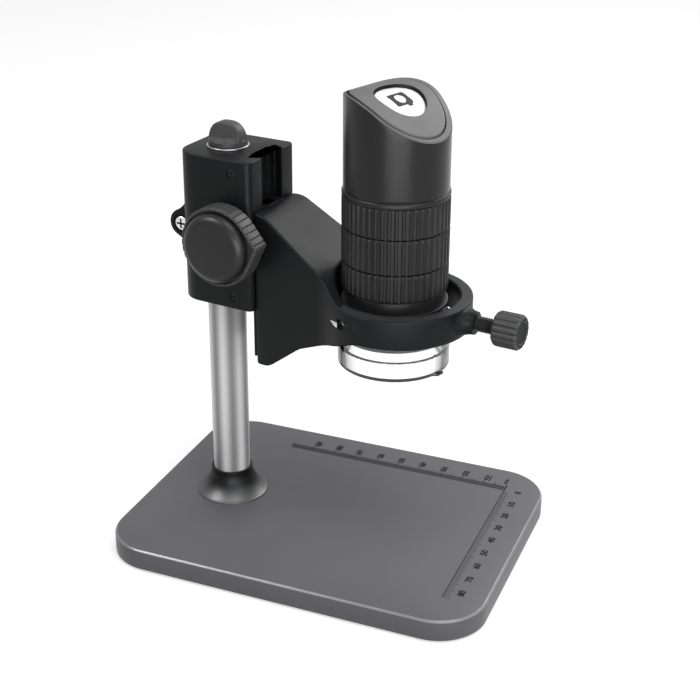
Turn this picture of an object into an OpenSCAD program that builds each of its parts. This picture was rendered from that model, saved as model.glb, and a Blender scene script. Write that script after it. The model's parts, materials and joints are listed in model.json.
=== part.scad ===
// Digital microscope on a bench stand. A ribbed camera barrel hangs in the ring of a
// rack-driven arm. The arm rides in a dovetail block on a round column over a ruled plate.
// Millimetres, +Z up. The origin is the centre of the plate's underside.

/* [Base] */
// Length of the plate, left to right
plate_l = 158; // [140:1:200]
// Width of the plate, front to back
plate_w = 119; // [100:1:160]
// Thickness of the plate
plate_t = 8.8; // [8:0.1:12]
// Radius of the plate's corners
plate_corner_r = 20; // [8:1:30]
// Bevel round the plate's top edge
plate_bevel = 0.7; // [0.2:0.1:1.5]
// Thickness of the rubber mat under the plate
mat_t = 0.8; // [0.5:0.1:2]
// Distance of the mat's edge from the plate's edge
mat_inset = 4; // [1:0.5:8]
// Radius of the bolt that holds the column
bolt_r = 3; // [2.5:0.1:3.5]
// Radius of that bolt's head
bolt_head_r = 5; // [4.5:0.1:6]
// Height of that bolt's head
bolt_head_h = 5; // [3:0.1:6]
// Length of that bolt's thread above the plate
bolt_reach = 9; // [6:0.5:12]

/* [Column] */
// Distance of the column's axis from the plate's centre
column_offset = 46.8; // [40:0.1:60]
// Outer radius of the column
column_r = 7.75; // [7:0.05:8.2]
// Gap between the column's top and the block's roof
roof_gap = 0.3; // [0.2:0.05:0.6]
// Wall of the column's tube
column_wall = 1.6; // [1:0.1:2.5]
// Free length of the column between the plate and the block
column_free = 93.2; // [80:0.1:120]
// Length of the plugs in the column's ends
plug_h = 12; // [10:0.5:16]
// Radius of the foot collar at the plate
collar_r = 15; // [12:0.5:20]
// Radius of the foot collar at its neck
collar_neck_r = 8.9; // [8.6:0.1:10]
// Height of the foot collar
collar_h = 11.8; // [8:0.2:16]

/* [Focus block] */
// Angle of the whole head about the column, seen from above
head_turn = -7.2; // [-180:0.1:180]
// Height of the block
block_h = 60.8; // [55:0.1:70]
// Width of the block, front to back
block_w = 33.6; // [32:0.1:40]
// Reach of the block behind the column's axis
block_rear = 12; // [11.6:0.1:18]
// Reach of the block in front of the column's axis
block_nose = 22.8; // [22.4:0.1:24]
// Radius of the block's rear corners
block_rear_r = 9.5; // [2:0.5:11]
// Radius of the block's nose corners
block_nose_r = 2.6; // [1:0.1:3]
// Thickness of the block's roof over the column
roof_t = 6.5; // [4:0.5:9]
// Width of the clamp slit
slit_w = 1.2; // [0.8:0.1:1.6]
// Radius of the clamp lug
lug_r = 6.2; // [5.6:0.1:7]
// Distance of the lug's centre from the column's axis
lug_reach = 15.2; // [14.6:0.1:18]
// Height of the lug's centre above the block's underside
lug_up = 28; // [22:0.5:34]
// Width of the lug, front to back
lug_w = 17; // [15:0.5:20]
// Radius of the clamp screw's thread
clamp_r = 2; // [1.5:0.1:2.2]
// Radius of the clamp screw's head
clamp_head_r = 3.5; // [3.2:0.1:3.8]
// Height of the clamp screw's head
clamp_head_h = 2.2; // [1.6:0.1:2.6]
// Radius of the gib screws' heads
gib_head_r = 1.8; // [1.4:0.1:1.9]
// Radius of the gib screws' threads
gib_r = 1.1; // [0.8:0.1:1.2]
// Length of the gib screws
gib_l = 7; // [5:0.5:9]
// Distance of each gib screw from the block's end
gib_inset = 5; // [4:0.5:8]

/* [Dovetail] */
// Width of the groove at its mouth
groove_mouth = 14.4; // [12.8:0.1:16]
// Width of the groove at its floor
groove_floor = 19; // [18.4:0.1:22]
// Depth of the groove
groove_d = 4.8; // [4.6:0.1:5.6]
// Width of the relief channel in the groove's floor
channel_w = 11; // [9:0.5:12]
// Depth of the relief channel
channel_d = 1; // [0.5:0.1:1.2]
// Clearance between the rail and its groove
rail_gap = 0.3; // [0.2:0.05:0.35]

/* [Focus drive] */
// Height of the pinion's axis above the block's underside
pinion_up = 29.6; // [26:0.1:34]
// Distance of the pinion's axis from the column's axis
pinion_reach = 14.6; // [14.5:0.1:15]
// Teeth on the pinion
pinion_teeth = 12; // [12:1:13]
// Module of the gear teeth
tooth_module = 0.8; // [0.75:0.01:0.82]
// Pressure angle of the gear teeth
tooth_angle = 25; // [22:1:26]
// Play between the gear flanks
tooth_play = 0.12; // [0.08:0.01:0.2]
// Width of the pinion
pinion_w = 5.6; // [4:0.1:6]
// Radius of the pinion's shaft
shaft_r = 2.5; // [2:0.1:2.7]
// Reach of the shaft behind the block's middle
shaft_back = 12; // [8:0.5:13]
// Radius of the flanged bush
bush_r = 5; // [4.4:0.1:5.4]
// Length of the bush inside the block
bush_l = 5.5; // [4:0.5:6]
// Radius of the bush's flange
flange_r = 8; // [6.5:0.1:9]
// Thickness of the bush's flange
flange_t = 2.2; // [1.5:0.1:3]
// Radius of the knob's grip
grip_r = 15.8; // [14:0.1:17]
// Reach of the grip's nose from its axis
nose_reach = 18.6; // [17.5:0.1:19.5]
// Angle of the grip's nose above the level
nose_turn = 7; // [-180:1:180]
// Radius of the nose's tip
nose_r = 1.2; // [0.6:0.1:2]
// Flats round the grip
grip_flats = 24; // [16:1:36]
// Width of the grip
grip_w = 7.6; // [6:0.1:10]
// Radius of the hub behind the grip
hub_r = 9; // [7:0.5:12]
// Length of the hub behind the grip
hub_l = 1.4; // [1:0.1:3]
// Radius of the knob's cap
cap_r = 14.2; // [12:0.1:15]
// Height of the knob's cap
cap_h = 4; // [2.5:0.1:6]

/* [Lock knob] */
// Distance of the lock knob's axis from the column's axis
lock_offset = 2.6; // [0:0.1:3]
// Radius of the bright washer under the lock knob
washer_r = 8.4; // [7.8:0.1:9]
// Thickness of that washer
washer_t = 0.8; // [0.5:0.1:1.2]
// Radius of the lock knob's skirt
skirt_r = 7.8; // [7:0.1:8.4]
// Height of the lock knob's skirt
skirt_h = 2.4; // [1.5:0.1:3]
// Width of the lock knob's wing
wing_w = 14.8; // [12:0.1:15.4]
// Thickness of the lock knob's wing
wing_t = 6.6; // [4:0.1:8]
// Height of the lock knob's wing
wing_h = 9.2; // [8:0.1:14]
// Radius of the lock screw
lock_r = 2.5; // [2:0.1:3]

/* [Arm and ring] */
// How far the arm's foot hangs below the block's underside
arm_hang = 22.7; // [18:0.1:26]
// Height of the arm at the rail
arm_h = 63.3; // [60:0.1:70]
// Half width of the arm at the rail
arm_half_w = 14.6; // [13:0.1:16]
// Spread of the arm's flanks
flank_angle = 8.6; // [4:0.1:9]
// Radius between the arm's flank and the ring
flank_r = 18; // [10:1:24]
// Distance of the ring's axis from the column's axis
ring_reach = 78; // [77:0.1:84]
// Inner radius of the ring
ring_r = 23.6; // [23:0.1:24.4]
// Wall of the ring
ring_wall = 4.8; // [4:0.1:6]
// Height of the ring
ring_h = 11.8; // [11:0.1:14]
// Height of the ring's underside above the arm's foot
ring_up = 25.3; // [22:0.1:28]
// Slope of the arm's top
top_slope = 33.8; // [28:0.1:36]
// Slope of the arm's underside
under_slope = 32.4; // [28:0.1:36]
// Radius of the corner at the arm's top
arm_top_r = 9; // [4:0.5:12]
// Radius of the corner at the arm's foot
arm_foot_r = 6; // [3:0.5:8]
// Radius of the hollow where the arm's top meets the ring
arm_blend_r = 10; // [4:0.5:12]
// Distance from the ring's outside to the end of its boss
boss_l = 4.3; // [3.5:0.1:6]
// Radius of the boss at its end
boss_r = 4.4; // [4.1:0.1:5]
// Radius between the ring and its boss
boss_blend_r = 6; // [4:0.5:8]
// Angle of the two set screws from the thumb screw
set_turn = 110; // [104:1:124]
// Radius of the set screws
set_r = 2; // [1.5:0.1:2.2]
// Length of the set screws
set_l = 5; // [4:0.1:6]

/* [Liner] */
// Wall of the split liner between the ring's screws and the barrel
liner_t = 0.8; // [0.6:0.1:1]
// Height of the liner
liner_h = 7.8; // [6:0.1:9]
// Width of the liner's slit
liner_slit = 3; // [1:0.5:6]

/* [Thumb screw] */
// Radius of the thumb screw
thumb_r = 3; // [2.5:0.1:3.3]
// Length of bare thread between the boss and the knob
thumb_free = 7.8; // [5:0.1:9]
// Pitch of the thread
thumb_pitch = 1; // [0.7:0.1:1.25]
// Radius of the thumb knob
thumb_knob_r = 6.7; // [6:0.1:8]
// Length of the thumb knob
thumb_knob_l = 10.4; // [8:0.1:14]
// Ribs round the thumb knob
thumb_ribs = 20; // [12:1:28]
// Depth of those ribs
thumb_rib_d = 0.6; // [0.3:0.1:0.9]
// Bevel of the thumb knob's ends
thumb_bevel = 0.9; // [0.4:0.1:1.4]
// Radius of the pressure pad
press_r = 3.4; // [3:0.1:3.5]
// Thickness of the pressure pad
press_t = 1.6; // [1.2:0.1:1.6]

/* [Microscope] */
// Distance of the microscope's axis behind the ring's axis
scope_back = 1.5; // [1.1:0.1:1.9]
// Direction of the microscope's sloping face
scope_turn = -12; // [-180:1:180]
// Outer radius of the upper barrel
barrel_r = 19.8; // [19.4:0.1:20]
// Wall of the upper barrel
barrel_wall = 1.8; // [1.5:0.1:2]
// Outer radius over the ribs
rib_r = 20.25; // [20:0.05:20.6]
// Depth of the ribs
rib_d = 0.55; // [0.3:0.05:0.7]
// Ribs round each band
rib_count = 48; // [36:1:60]
// Outer radius of the plain lower barrel
lower_r = 19.4; // [19:0.1:19.6]
// Wall of the lower barrel
lower_wall = 1.6; // [1.4:0.1:1.6]
// Depth of the clear tip's rim below the ring's underside
tip_hang = 16.3; // [14:0.1:20]
// Height of the ribs' lower end above the tip's rim
rib_start = 31.2; // [30.8:0.1:34]
// Height of the lower ribbed band
low_band_h = 10.6; // [8:0.1:14]
// Height of the focus ring
focus_band_h = 13.65; // [10:0.05:16]
// Height of the upper ribbed band with its shoulder
top_band_h = 14; // [12:0.1:18]
// Height of the shoulder above the upper band's ribs
shoulder_h = 2.4; // [1.5:0.1:3.5]
// Width of the groove between two bands
band_gap = 0.4; // [0.3:0.05:1]
// Height of the upper barrel up to its crest
head_h = 36.45; // [34:0.05:46]
// Slope of the face
face_slope = 36; // [30:1:38]
// Radius of the rounded crest
crest_r = 24; // [20:1:28]
// Distance of the crest behind the microscope's axis
crest_back = 9; // [7:0.5:11]

/* [Top cover and button] */
// Thickness of the top cover
cover_t = 2; // [1.5:0.1:2.4]
// Narrowest rim of the barrel beside the top cover
cover_rim = 0.7; // [0.6:0.1:1]
// Distance of the cover's centre from the microscope's axis, sideways
cover_side = 0.95; // [0.5:0.05:1.2]
// Width of the ledge under the cover
cover_ledge = 1; // [0.8:0.1:1.4]
// Gap round the top cover
cover_gap = 0.3; // [0.2:0.05:0.4]
// Distance of the button's centre from the microscope's axis, down the slope
button_fore = 0.8; // [0.5:0.1:4.5]
// Distance of the button's centre from the microscope's axis, sideways
button_side = 0; // [-2:0.1:2]
// Half size of the button down the slope
button_a = 9.2; // [8:0.1:9.6]
// Half size of the button across the slope
button_b = 11.2; // [9:0.1:11.6]
// How far the button lies below the cover's face
button_sunk = 1; // [0.5:0.1:1.4]
// Travel of the button
button_travel = 0.8; // [0.5:0.1:1]
// Gap round the button
button_gap = 0.3; // [0.2:0.05:0.5]
// Width of the lip that keeps the button in
button_lip = 0.9; // [0.7:0.1:1.1]
// Thickness of that lip
button_lip_t = 1; // [0.8:0.1:1.4]
// Size of the push switch
switch_s = 6; // [4.5:0.5:7]
// Height of the push switch
switch_h = 3.4; // [2.5:0.1:4]
// Gap between the pressed button and its switch
switch_gap = 0.3; // [0.2:0.05:0.5]
// Thickness of the circuit boards
board_t = 1.6; // [1.2:0.1:2]

/* [Clear tip] */
// Outer radius of the clear tip
tip_r = 21.5; // [21.3:0.1:21.8]
// Height of the clear tip
tip_h = 13.6; // [12:0.1:13.8]
// Wall of the clear tip below its step
tip_wall = 1.3; // [1:0.1:1.6]
// Height of the step inside the clear tip
tip_step = 6.4; // [6:0.1:7]
// Width of the pull tab
tab_w = 5; // [4:0.5:8]
// Reach of the pull tab past the tip
tab_reach = 1.6; // [1:0.1:2.2]
// Thickness of the pull tab
tab_t = 1; // [0.8:0.1:1.6]

/* [Inside the microscope] */
// Wall of the inner chassis tube
chassis_wall = 1.5; // [1.2:0.1:2]
// Clearance of turning fits
run_gap = 0.1; // [0.05:0.01:0.1]
// Small gap between pieces that are fitted by hand
seat_gap = 0.1; // [0.05:0.01:0.15]
// Radius of the lens cell
lens_cell_r = 6.5; // [5.5:0.1:8]
// Length of the lens cell
lens_cell_l = 14; // [10:0.5:18]
// Radius of the lens
lens_r = 4.6; // [3.5:0.1:5]
// Side of the image sensor
sensor_s = 7; // [5:0.5:9]
// Height of the image sensor
sensor_h = 1.2; // [0.8:0.1:2]
// Count of lamps round the lens
led_count = 8; // [6:1:12]
// Radius of each lamp
led_r = 1.5; // [1:0.1:1.8]
// Height of each lamp
led_h = 2; // [1.5:0.1:2.4]
// Width of the cable socket
socket_w = 7.8; // [7:0.1:9]
// Height of the cable socket
socket_h = 2.9; // [2.5:0.1:4]
// Depth of the cable socket
socket_d = 6; // [5:0.1:8]

/* [Hidden] */
$fn = 72;

// Overrun of cuts past a face
cut = 1;
// Points along a rounded corner
corner_steps = 8;
column_x = -column_offset;
plate_z = mat_t;
plate_top = plate_z + plate_t;
block_z = plate_top + column_free;
block_top = block_z + block_h;
roof_z = block_top - roof_t;
column_top = roof_z - roof_gap;
plug_r = column_r - column_wall - seat_gap;
bolt_seat = bolt_head_h + seat_gap;
half_w = block_w / 2;
lug_z = block_z + lug_up;
lug_half = lug_w / 2;
floor_x = block_nose - groove_d;
pinion_z = block_z + pinion_up;
pitch_r = tooth_module * pinion_teeth / 2;
addendum_share = 0.8;
dedendum_share = 1;
addendum = tooth_module * addendum_share;
dedendum = tooth_module * dedendum_share;
tooth_pitch = tooth_module * PI;
pitch_x = pinion_reach + pitch_r;
rack_back = pitch_x + dedendum + tooth_module * 2;
rack_w = pinion_w + run_gap * 4;
pocket_r = pitch_r + addendum + rail_gap;
arm_x = block_nose + rail_gap;
arm_z = block_z - arm_hang;
ring_z = arm_z + ring_up;
ring_top = ring_z + ring_h;
ring_out = ring_r + ring_wall;
screw_z = ring_z + ring_h / 2;
scope_reach = ring_reach - scope_back;
boss_end = ring_reach + ring_out + boss_l;
scope_z = ring_z - tip_hang;
ribs_z = scope_z + rib_start;
focus_z = ribs_z + low_band_h;
top_band_z = focus_z + focus_band_h;
barrel_z = top_band_z + top_band_h;
crest_z = barrel_z + head_h;
half_gap = band_gap / 2;
chassis_rise_share = 0.25;
chassis_top = barrel_z + head_h * chassis_rise_share;
liner_r = lower_r + run_gap + liner_t;
press_z = liner_r + seat_gap;
thumb_z = press_z + press_t;
thumb_knob_z = boss_end - scope_reach + thumb_free;
cover_r = barrel_r - cover_rim - cover_side;
nut_share = 1.75;
nut_t_share = 1.5;
nut_r = clamp_r * nut_share;
nut_t = clamp_r * nut_t_share;
cross_share = 0.62;
cross_w_share = 0.2;
rib_shares = [0, 0.12, 0.5, 0.62];
rib_end_share = 1.6;
barrel_in = barrel_r - barrel_wall;
chassis_r = barrel_in - seat_gap;
chassis_in = chassis_r - chassis_wall;
lower_in = lower_r - lower_wall;
lower_z = scope_z + tip_step + led_h + board_t + tip_wall;
knob_y = -half_w - flange_t - rail_gap;
grip_y = knob_y - hub_l;
cap_y = grip_y - grip_w;
tangent_u = crest_r * sin(face_slope) - crest_back;
button_tilt = asin((button_fore + crest_back) / crest_r);
button_foot = cover_t + seat_gap + button_lip_t;
switch_foot = -button_foot - button_travel * 2 - switch_gap - switch_h;

// Unit vector along a vector in the plane
function unit(v) = v / norm(v);
// Points of an arc about c, from angle a0 to a1
function arc(c, r, a0, a1, n = corner_steps) =
    [for (i = [0:n]) c + r * [cos(a0 + (a1 - a0) * i / n), sin(a0 + (a1 - a0) * i / n)]];
// Turn from angle a to angle b by the short way
function short_turn(a, b) = (b - a) - 360 * round((b - a) / 360);
// Points of the corner p1 between p0 and p2, rounded with radius r
function corner(p0, p1, p2, r) =
    let (
        u = unit(p0 - p1), w = unit(p2 - p1),
        half = acos(u * w) / 2,
        c = p1 + unit(u + w) * r / sin(half),
        a = p1 + u * r / tan(half) - c,
        b = p1 + w * r / tan(half) - c,
        a0 = atan2(a[1], a[0])
    ) arc(c, r, a0, a0 + short_turn(a0, atan2(b[1], b[0])));
// Outline with every corner rounded, from a list of [point, radius]
function rounded(list) =
    let (n = len(list))
    [for (i = [0:n - 1], p = list[i][1] > 0
        ? corner(list[(i + n - 1) % n][0], list[i][0], list[(i + 1) % n][0], list[i][1])
        : [list[i][0]]) p];
// Same outline mirrored about the X axis and joined to the first
function both_sides(points) =
    concat(points, [for (i = [len(points) - 1:-1:0]) [points[i][0], -points[i][1]]]);

// Frame of the turning head: the column's axis, with +X towards the ring
module at_head() translate([column_x, 0, 0]) rotate([0, 0, head_turn]) children();
// Frame of the microscope: its own axis, with +X down its sloping face
module at_scope() at_head() translate([scope_reach, 0, 0]) rotate([0, 0, scope_turn]) children();
// Frame of the pinion and the knob: +Z towards the front, +Y up
module at_knob() at_head() translate([pinion_reach, 0, pinion_z]) rotate([90, 0, 0]) children();
// Frame of the thumb screw: +Z outwards along its axis from the microscope's axis
module at_thumb() at_head() translate([scope_reach, 0, screw_z]) rotate([0, 90, 0]) children();
// Tube between two heights
module tube(r_out, r_in, z0, z1) {
    difference() {
        translate([0, 0, z0]) cylinder(r = r_out, h = z1 - z0);
        translate([0, 0, z0 - cut]) cylinder(r = r_in, h = z1 - z0 + 2 * cut);
    }
}
// Rod between two heights
module rod(r, z0, z1) translate([0, 0, z0]) cylinder(r = r, h = z1 - z0);
// Side outline in X and Z, drawn out along Y by the width w each side of y = 0
module side_slab(w, points) {
    translate([0, w, 0]) rotate([90, 0, 0]) linear_extrude(height = 2 * w) polygon(points);
}
// Round blank whose bevels cut the ends of a piece of radius r between two heights
module bevelled(r, z0, z1, low, high) {
    rotate_extrude() polygon([
        [0, z0], [r - low, z0], [r + cut, z0 + low + cut],
        [r + cut, z1 - high - cut], [r - high, z1], [0, z1]
    ]);
}
// Cross recess in the end of a screw, its mouth at height z, opening towards +Z
module cross_recess(r, depth, z) {
    for (a = [0, 90]) rotate([0, 0, a])
        translate([-r * cross_share, -r * cross_w_share / 2, z - depth])
            cube([2 * r * cross_share, r * cross_w_share, depth + cut]);
}

// Base

// Section across the plate, half width w, with the top edge bevelled
function plate_section(w) = [
    [-w, 0], [w, 0], [w, plate_t - plate_bevel], [w - plate_bevel, plate_t],
    [plate_bevel - w, plate_t], [-w, plate_t - plate_bevel]
];
module plate_bar(half_l, w) {
    translate([-half_l, 0, 0]) rotate([90, 0, 90]) linear_extrude(height = 2 * half_l)
        polygon(plate_section(w));
}
module plate_corner() {
    rotate_extrude() polygon([
        [0, 0], [plate_corner_r, 0], [plate_corner_r, plate_t - plate_bevel],
        [plate_corner_r - plate_bevel, plate_t], [0, plate_t]
    ]);
}
module base_plate() {
    inner_l = plate_l / 2 - plate_corner_r;
    inner_w = plate_w / 2 - plate_corner_r;
    color([0.36, 0.36, 0.38]) difference() {
        translate([0, 0, plate_z]) union() {
            plate_bar(inner_l, plate_w / 2);
            rotate([0, 0, 90]) plate_bar(inner_w, plate_l / 2);
            for (x = [-inner_l, inner_l], y = [-inner_w, inner_w]) translate([x, y, 0]) plate_corner();
        }
        translate([column_x, 0, 0]) rod(bolt_r + seat_gap, 0, plate_top + cut);
        translate([column_x, 0, 0]) rod(bolt_head_r + seat_gap, 0, plate_z + bolt_seat);
    }
}
module base_mat() {
    l = plate_l / 2 - mat_inset;
    w = plate_w / 2 - mat_inset;
    r = plate_corner_r - mat_inset;
    color([0.06, 0.06, 0.06]) difference() {
        linear_extrude(height = mat_t)
            polygon(rounded([[[l, w], r], [[-l, w], r], [[-l, -w], r], [[l, -w], r]]));
        translate([column_x, 0, 0]) rod(bolt_head_r + mat_t, -cut, mat_t + cut);
    }
}
module column_bolt() {
    socket_share = 0.55;
    color([0.6, 0.6, 0.62]) translate([column_x, 0, 0]) difference() {
        union() {
            rod(bolt_head_r, plate_z + seat_gap, plate_z + bolt_seat);
            rod(bolt_r, plate_z + bolt_seat, plate_top + bolt_reach);
        }
        translate([0, 0, plate_z]) cylinder(r = bolt_head_r * socket_share, h = bolt_head_h / 2, $fn = 6);
    }
}

// Column

module column_foot_plug() {
    color([0.55, 0.55, 0.57]) translate([column_x, 0, 0])
        tube(plug_r, bolt_r + seat_gap / 2, plate_top, plate_top + plug_h);
}
module column_tube() {
    color([0.78, 0.78, 0.79]) translate([column_x, 0, 0])
        tube(column_r, column_r - column_wall, plate_top, column_top);
}
module column_top_plug() {
    color([0.55, 0.55, 0.57]) translate([column_x, 0, 0]) rod(plug_r, column_top - plug_h, column_top);
}
module column_collar() {
    flare_share = 0.84;
    steps = 14;
    function flare(s) = collar_neck_r + (collar_r - collar_neck_r) * (1 + cos(180 * s)) / 2;
    inner = column_r + seat_gap;
    color([0.1, 0.1, 0.1]) translate([column_x, 0, plate_top]) rotate_extrude() polygon(concat(
        [for (i = [0:steps]) [flare(i / steps), collar_h * flare_share * i / steps]],
        [[collar_neck_r, collar_h], [inner, collar_h], [inner, 0]]
    ));
}

// Focus block

// Angle at which the line from p touches the circle about c, on the side given by way
function touch(p, c, r, way) =
    let (d = p - c, a = atan2(d[1], d[0]) + way * acos(r / norm(d))) a < 0 ? a + 360 : a;
module clamp_lug() {
    rise_share = 2.6;
    drop_share = 2;
    c = [-lug_reach, lug_z];
    inner = -block_rear + lug_r;
    upper = [inner, lug_z + lug_r * rise_share];
    lower = [inner, lug_z - lug_r * drop_share];
    side_slab(lug_half, concat(
        [upper],
        arc(c, lug_r, touch(upper, c, lug_r, 1), touch(lower, c, lug_r, -1)),
        [lower]
    ));
}
module groove_cut() {
    wide = groove_floor / 2;
    translate([0, 0, block_z - cut]) linear_extrude(height = block_h + 2 * cut) {
        polygon(both_sides([
            [floor_x, wide], [block_nose, groove_mouth / 2], [block_nose + cut, groove_mouth / 2]
        ]));
        polygon(both_sides([
            [floor_x - channel_d, channel_w / 2], [floor_x + cut, channel_w / 2]
        ]));
    }
}
module focus_block() {
    plan = rounded([
        [[block_nose, half_w], block_nose_r], [[-block_rear, half_w], block_rear_r],
        [[-block_rear, -half_w], block_rear_r], [[block_nose, -half_w], block_nose_r]
    ]);
    color([0.13, 0.13, 0.14]) difference() {
        at_head() union() {
            translate([0, 0, block_z]) linear_extrude(height = block_h) polygon(plan);
            clamp_lug();
        }
        at_head() rod(column_r + run_gap, block_z - cut, roof_z);
        at_head() groove_cut();
        at_head() translate([-lug_reach - lug_r - cut, -slit_w / 2, block_z - cut])
            cube([lug_reach + lug_r + cut, slit_w, roof_z - block_z + cut]);
        at_head() translate([lock_offset, 0, 0]) rod(lock_r + seat_gap, roof_z - cut, block_top + cut);
        at_knob() rod(pocket_r, -rack_w / 2, rack_w / 2);
        at_knob() rod(shaft_r + run_gap, -shaft_back - seat_gap, half_w + cut);
        at_knob() rod(bush_r + seat_gap, half_w - bush_l - seat_gap, half_w + cut);
        at_head() for (z = [block_z + gib_inset, block_top - gib_inset])
            translate([pinion_reach, -half_w, z]) rotate([90, 0, 0]) {
                rod(gib_head_r + seat_gap, -gib_head_r, cut);
                rod(gib_r + seat_gap, -gib_l - seat_gap, 0);
            }
        at_head() translate([-lug_reach, 0, lug_z]) rotate([90, 0, 0]) {
            rod(clamp_r + seat_gap, -lug_half - cut, lug_half + cut);
            rod(clamp_head_r + seat_gap, lug_half - clamp_head_h / 2, lug_half + cut);
            translate([0, 0, -lug_half - cut]) cylinder(r = nut_r + seat_gap, h = cut + nut_t, $fn = 6);
        }
    }
}
module clamp_screw() {
    color([0.85, 0.85, 0.86]) at_head() translate([-lug_reach, 0, lug_z]) rotate([90, 0, 0]) difference() {
        union() {
            rod(clamp_r, -lug_half + seat_gap, lug_half - clamp_head_h / 2);
            rod(clamp_head_r, lug_half - clamp_head_h / 2, lug_half + clamp_head_h / 2);
        }
        cross_recess(clamp_head_r, clamp_head_h * cross_share, lug_half + clamp_head_h / 2);
    }
}
module clamp_nut() {
    color([0.7, 0.7, 0.72]) at_head() translate([-lug_reach, 0, lug_z]) rotate([90, 0, 0]) difference() {
        translate([0, 0, -lug_half]) cylinder(r = nut_r, h = nut_t, $fn = 6);
        rod(clamp_r + seat_gap / 2, -lug_half - cut, lug_half);
    }
}
module gib_screws() {
    color([0.3, 0.3, 0.32]) at_head() for (z = [block_z + gib_inset, block_top - gib_inset])
        translate([pinion_reach, -half_w - seat_gap, z]) rotate([90, 0, 0]) difference() {
            union() {
                rod(gib_head_r, -gib_head_r, -gib_head_r / 4);
                rod(gib_r, -gib_l, -gib_head_r / 2);
            }
            cross_recess(gib_head_r, gib_head_r / 2, -gib_head_r / 4);
        }
}
module shaft_bush() {
    color([0.45, 0.38, 0.25]) at_knob() difference() {
        union() {
            rod(bush_r, half_w - bush_l, half_w + flange_t);
            rod(flange_r, half_w, half_w + flange_t);
        }
        rod(shaft_r + run_gap, half_w - bush_l - cut, half_w + flange_t + cut);
    }
}

// Lock knob

module lock_washer() {
    color([0.8, 0.8, 0.82]) at_head() translate([lock_offset, 0, 0])
        tube(washer_r, lock_r + seat_gap, block_top, block_top + washer_t);
}
module lock_knob() {
    power_share = 0.75;
    steps = 24;
    base = block_top + washer_t + seat_gap;
    function soft(v) = sign(v) * pow(abs(v), power_share);
    color([0.22, 0.22, 0.23]) at_head() translate([lock_offset, 0, base]) difference() {
        union() {
            rod(skirt_r, 0, skirt_h);
            side_slab(wing_t / 2, [for (i = [0:steps])
                let (a = 180 * i / steps) [wing_w / 2 * soft(cos(a)), wing_h * soft(sin(a))]]);
        }
        rod(lock_r + seat_gap / 2, -cut, wing_h / 2);
    }
}
module lock_screw() {
    color([0.6, 0.6, 0.62]) at_head() translate([lock_offset, 0, 0])
        rod(lock_r, column_top + seat_gap, block_top + washer_t + wing_h / 2);
}

// Focus drive

// Involute of an angle, in degrees
function involute(a) = tan(a) * 180 / PI - a;
function tooth_side(r) =
    let (base_r = pitch_r * cos(tooth_angle), a = r > base_r ? acos(base_r / r) : 0)
    90 / pinion_teeth - tooth_play * 45 / PI / pitch_r + involute(tooth_angle) - involute(a);
module pinion_gear() {
    flank_steps = 4;
    base_r = pitch_r * cos(tooth_angle);
    tip = pitch_r + addendum;
    root = pitch_r - dedendum;
    radii = concat([root], [for (i = [0:flank_steps]) base_r + (tip - base_r) * i / flank_steps]);
    color([0.7, 0.62, 0.4]) at_knob() difference() {
        translate([0, 0, -pinion_w / 2]) linear_extrude(height = pinion_w) polygon([
            for (t = [0:pinion_teeth - 1]) let (mid = 360 * t / pinion_teeth) each concat(
                [for (r = radii) r * [cos(mid - tooth_side(r)), sin(mid - tooth_side(r))]],
                [for (i = [len(radii) - 1:-1:0]) let (r = radii[i])
                    r * [cos(mid + tooth_side(r)), sin(mid + tooth_side(r))]]
            )
        ]);
        rod(shaft_r + seat_gap / 2, -pinion_w, pinion_w);
    }
}
module pinion_shaft() {
    color([0.7, 0.7, 0.72]) at_knob() rod(shaft_r, -shaft_back, -cap_y - seat_gap);
}
module knob_grip() {
    touch_a = acos(grip_r / nose_reach);
    nose_c = nose_reach - nose_r;
    inner = hub_r / 2;
    around = [for (i = [0:grip_flats]) touch_a + (360 - 2 * touch_a) * i / grip_flats];
    color([0.2, 0.2, 0.2]) at_knob() difference() {
        union() {
            rod(hub_r, -knob_y, -grip_y);
            translate([0, 0, -grip_y]) linear_extrude(height = grip_w) rotate([0, 0, nose_turn])
                polygon(concat(
                    [for (a = around) grip_r * [cos(a), sin(a)]],
                    arc([nose_c, 0], nose_r, -touch_a, touch_a)
                ));
        }
        rod(shaft_r + seat_gap / 2, -knob_y - cut, -cap_y + cut);
        rod(inner + shaft_r, -cap_y - grip_w / 4, -cap_y + cut);
    }
}
module knob_cap() {
    rim_share = 0.22;
    dome_share = 0.8;
    crown_share = 1.4;
    edge = cap_h * rim_share;
    soft = cap_h * dome_share - edge;
    inner = cap_r - soft * crown_share;
    steps = 8;
    rise = cap_h - edge - soft;
    color([0.17, 0.16, 0.16]) at_knob() translate([0, 0, -cap_y]) rotate_extrude() polygon(concat(
        [[0, 0], [cap_r, 0]],
        [for (i = [0:steps]) let (a = 90 * i / steps)
            [inner + (cap_r - inner) * cos(a), edge + soft * sin(a)]],
        [for (i = [1:steps]) [inner * (1 - i / steps), edge + soft + rise * (1 - pow(1 - i / steps, 2))]]
    ));
}

// Arm and ring

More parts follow.
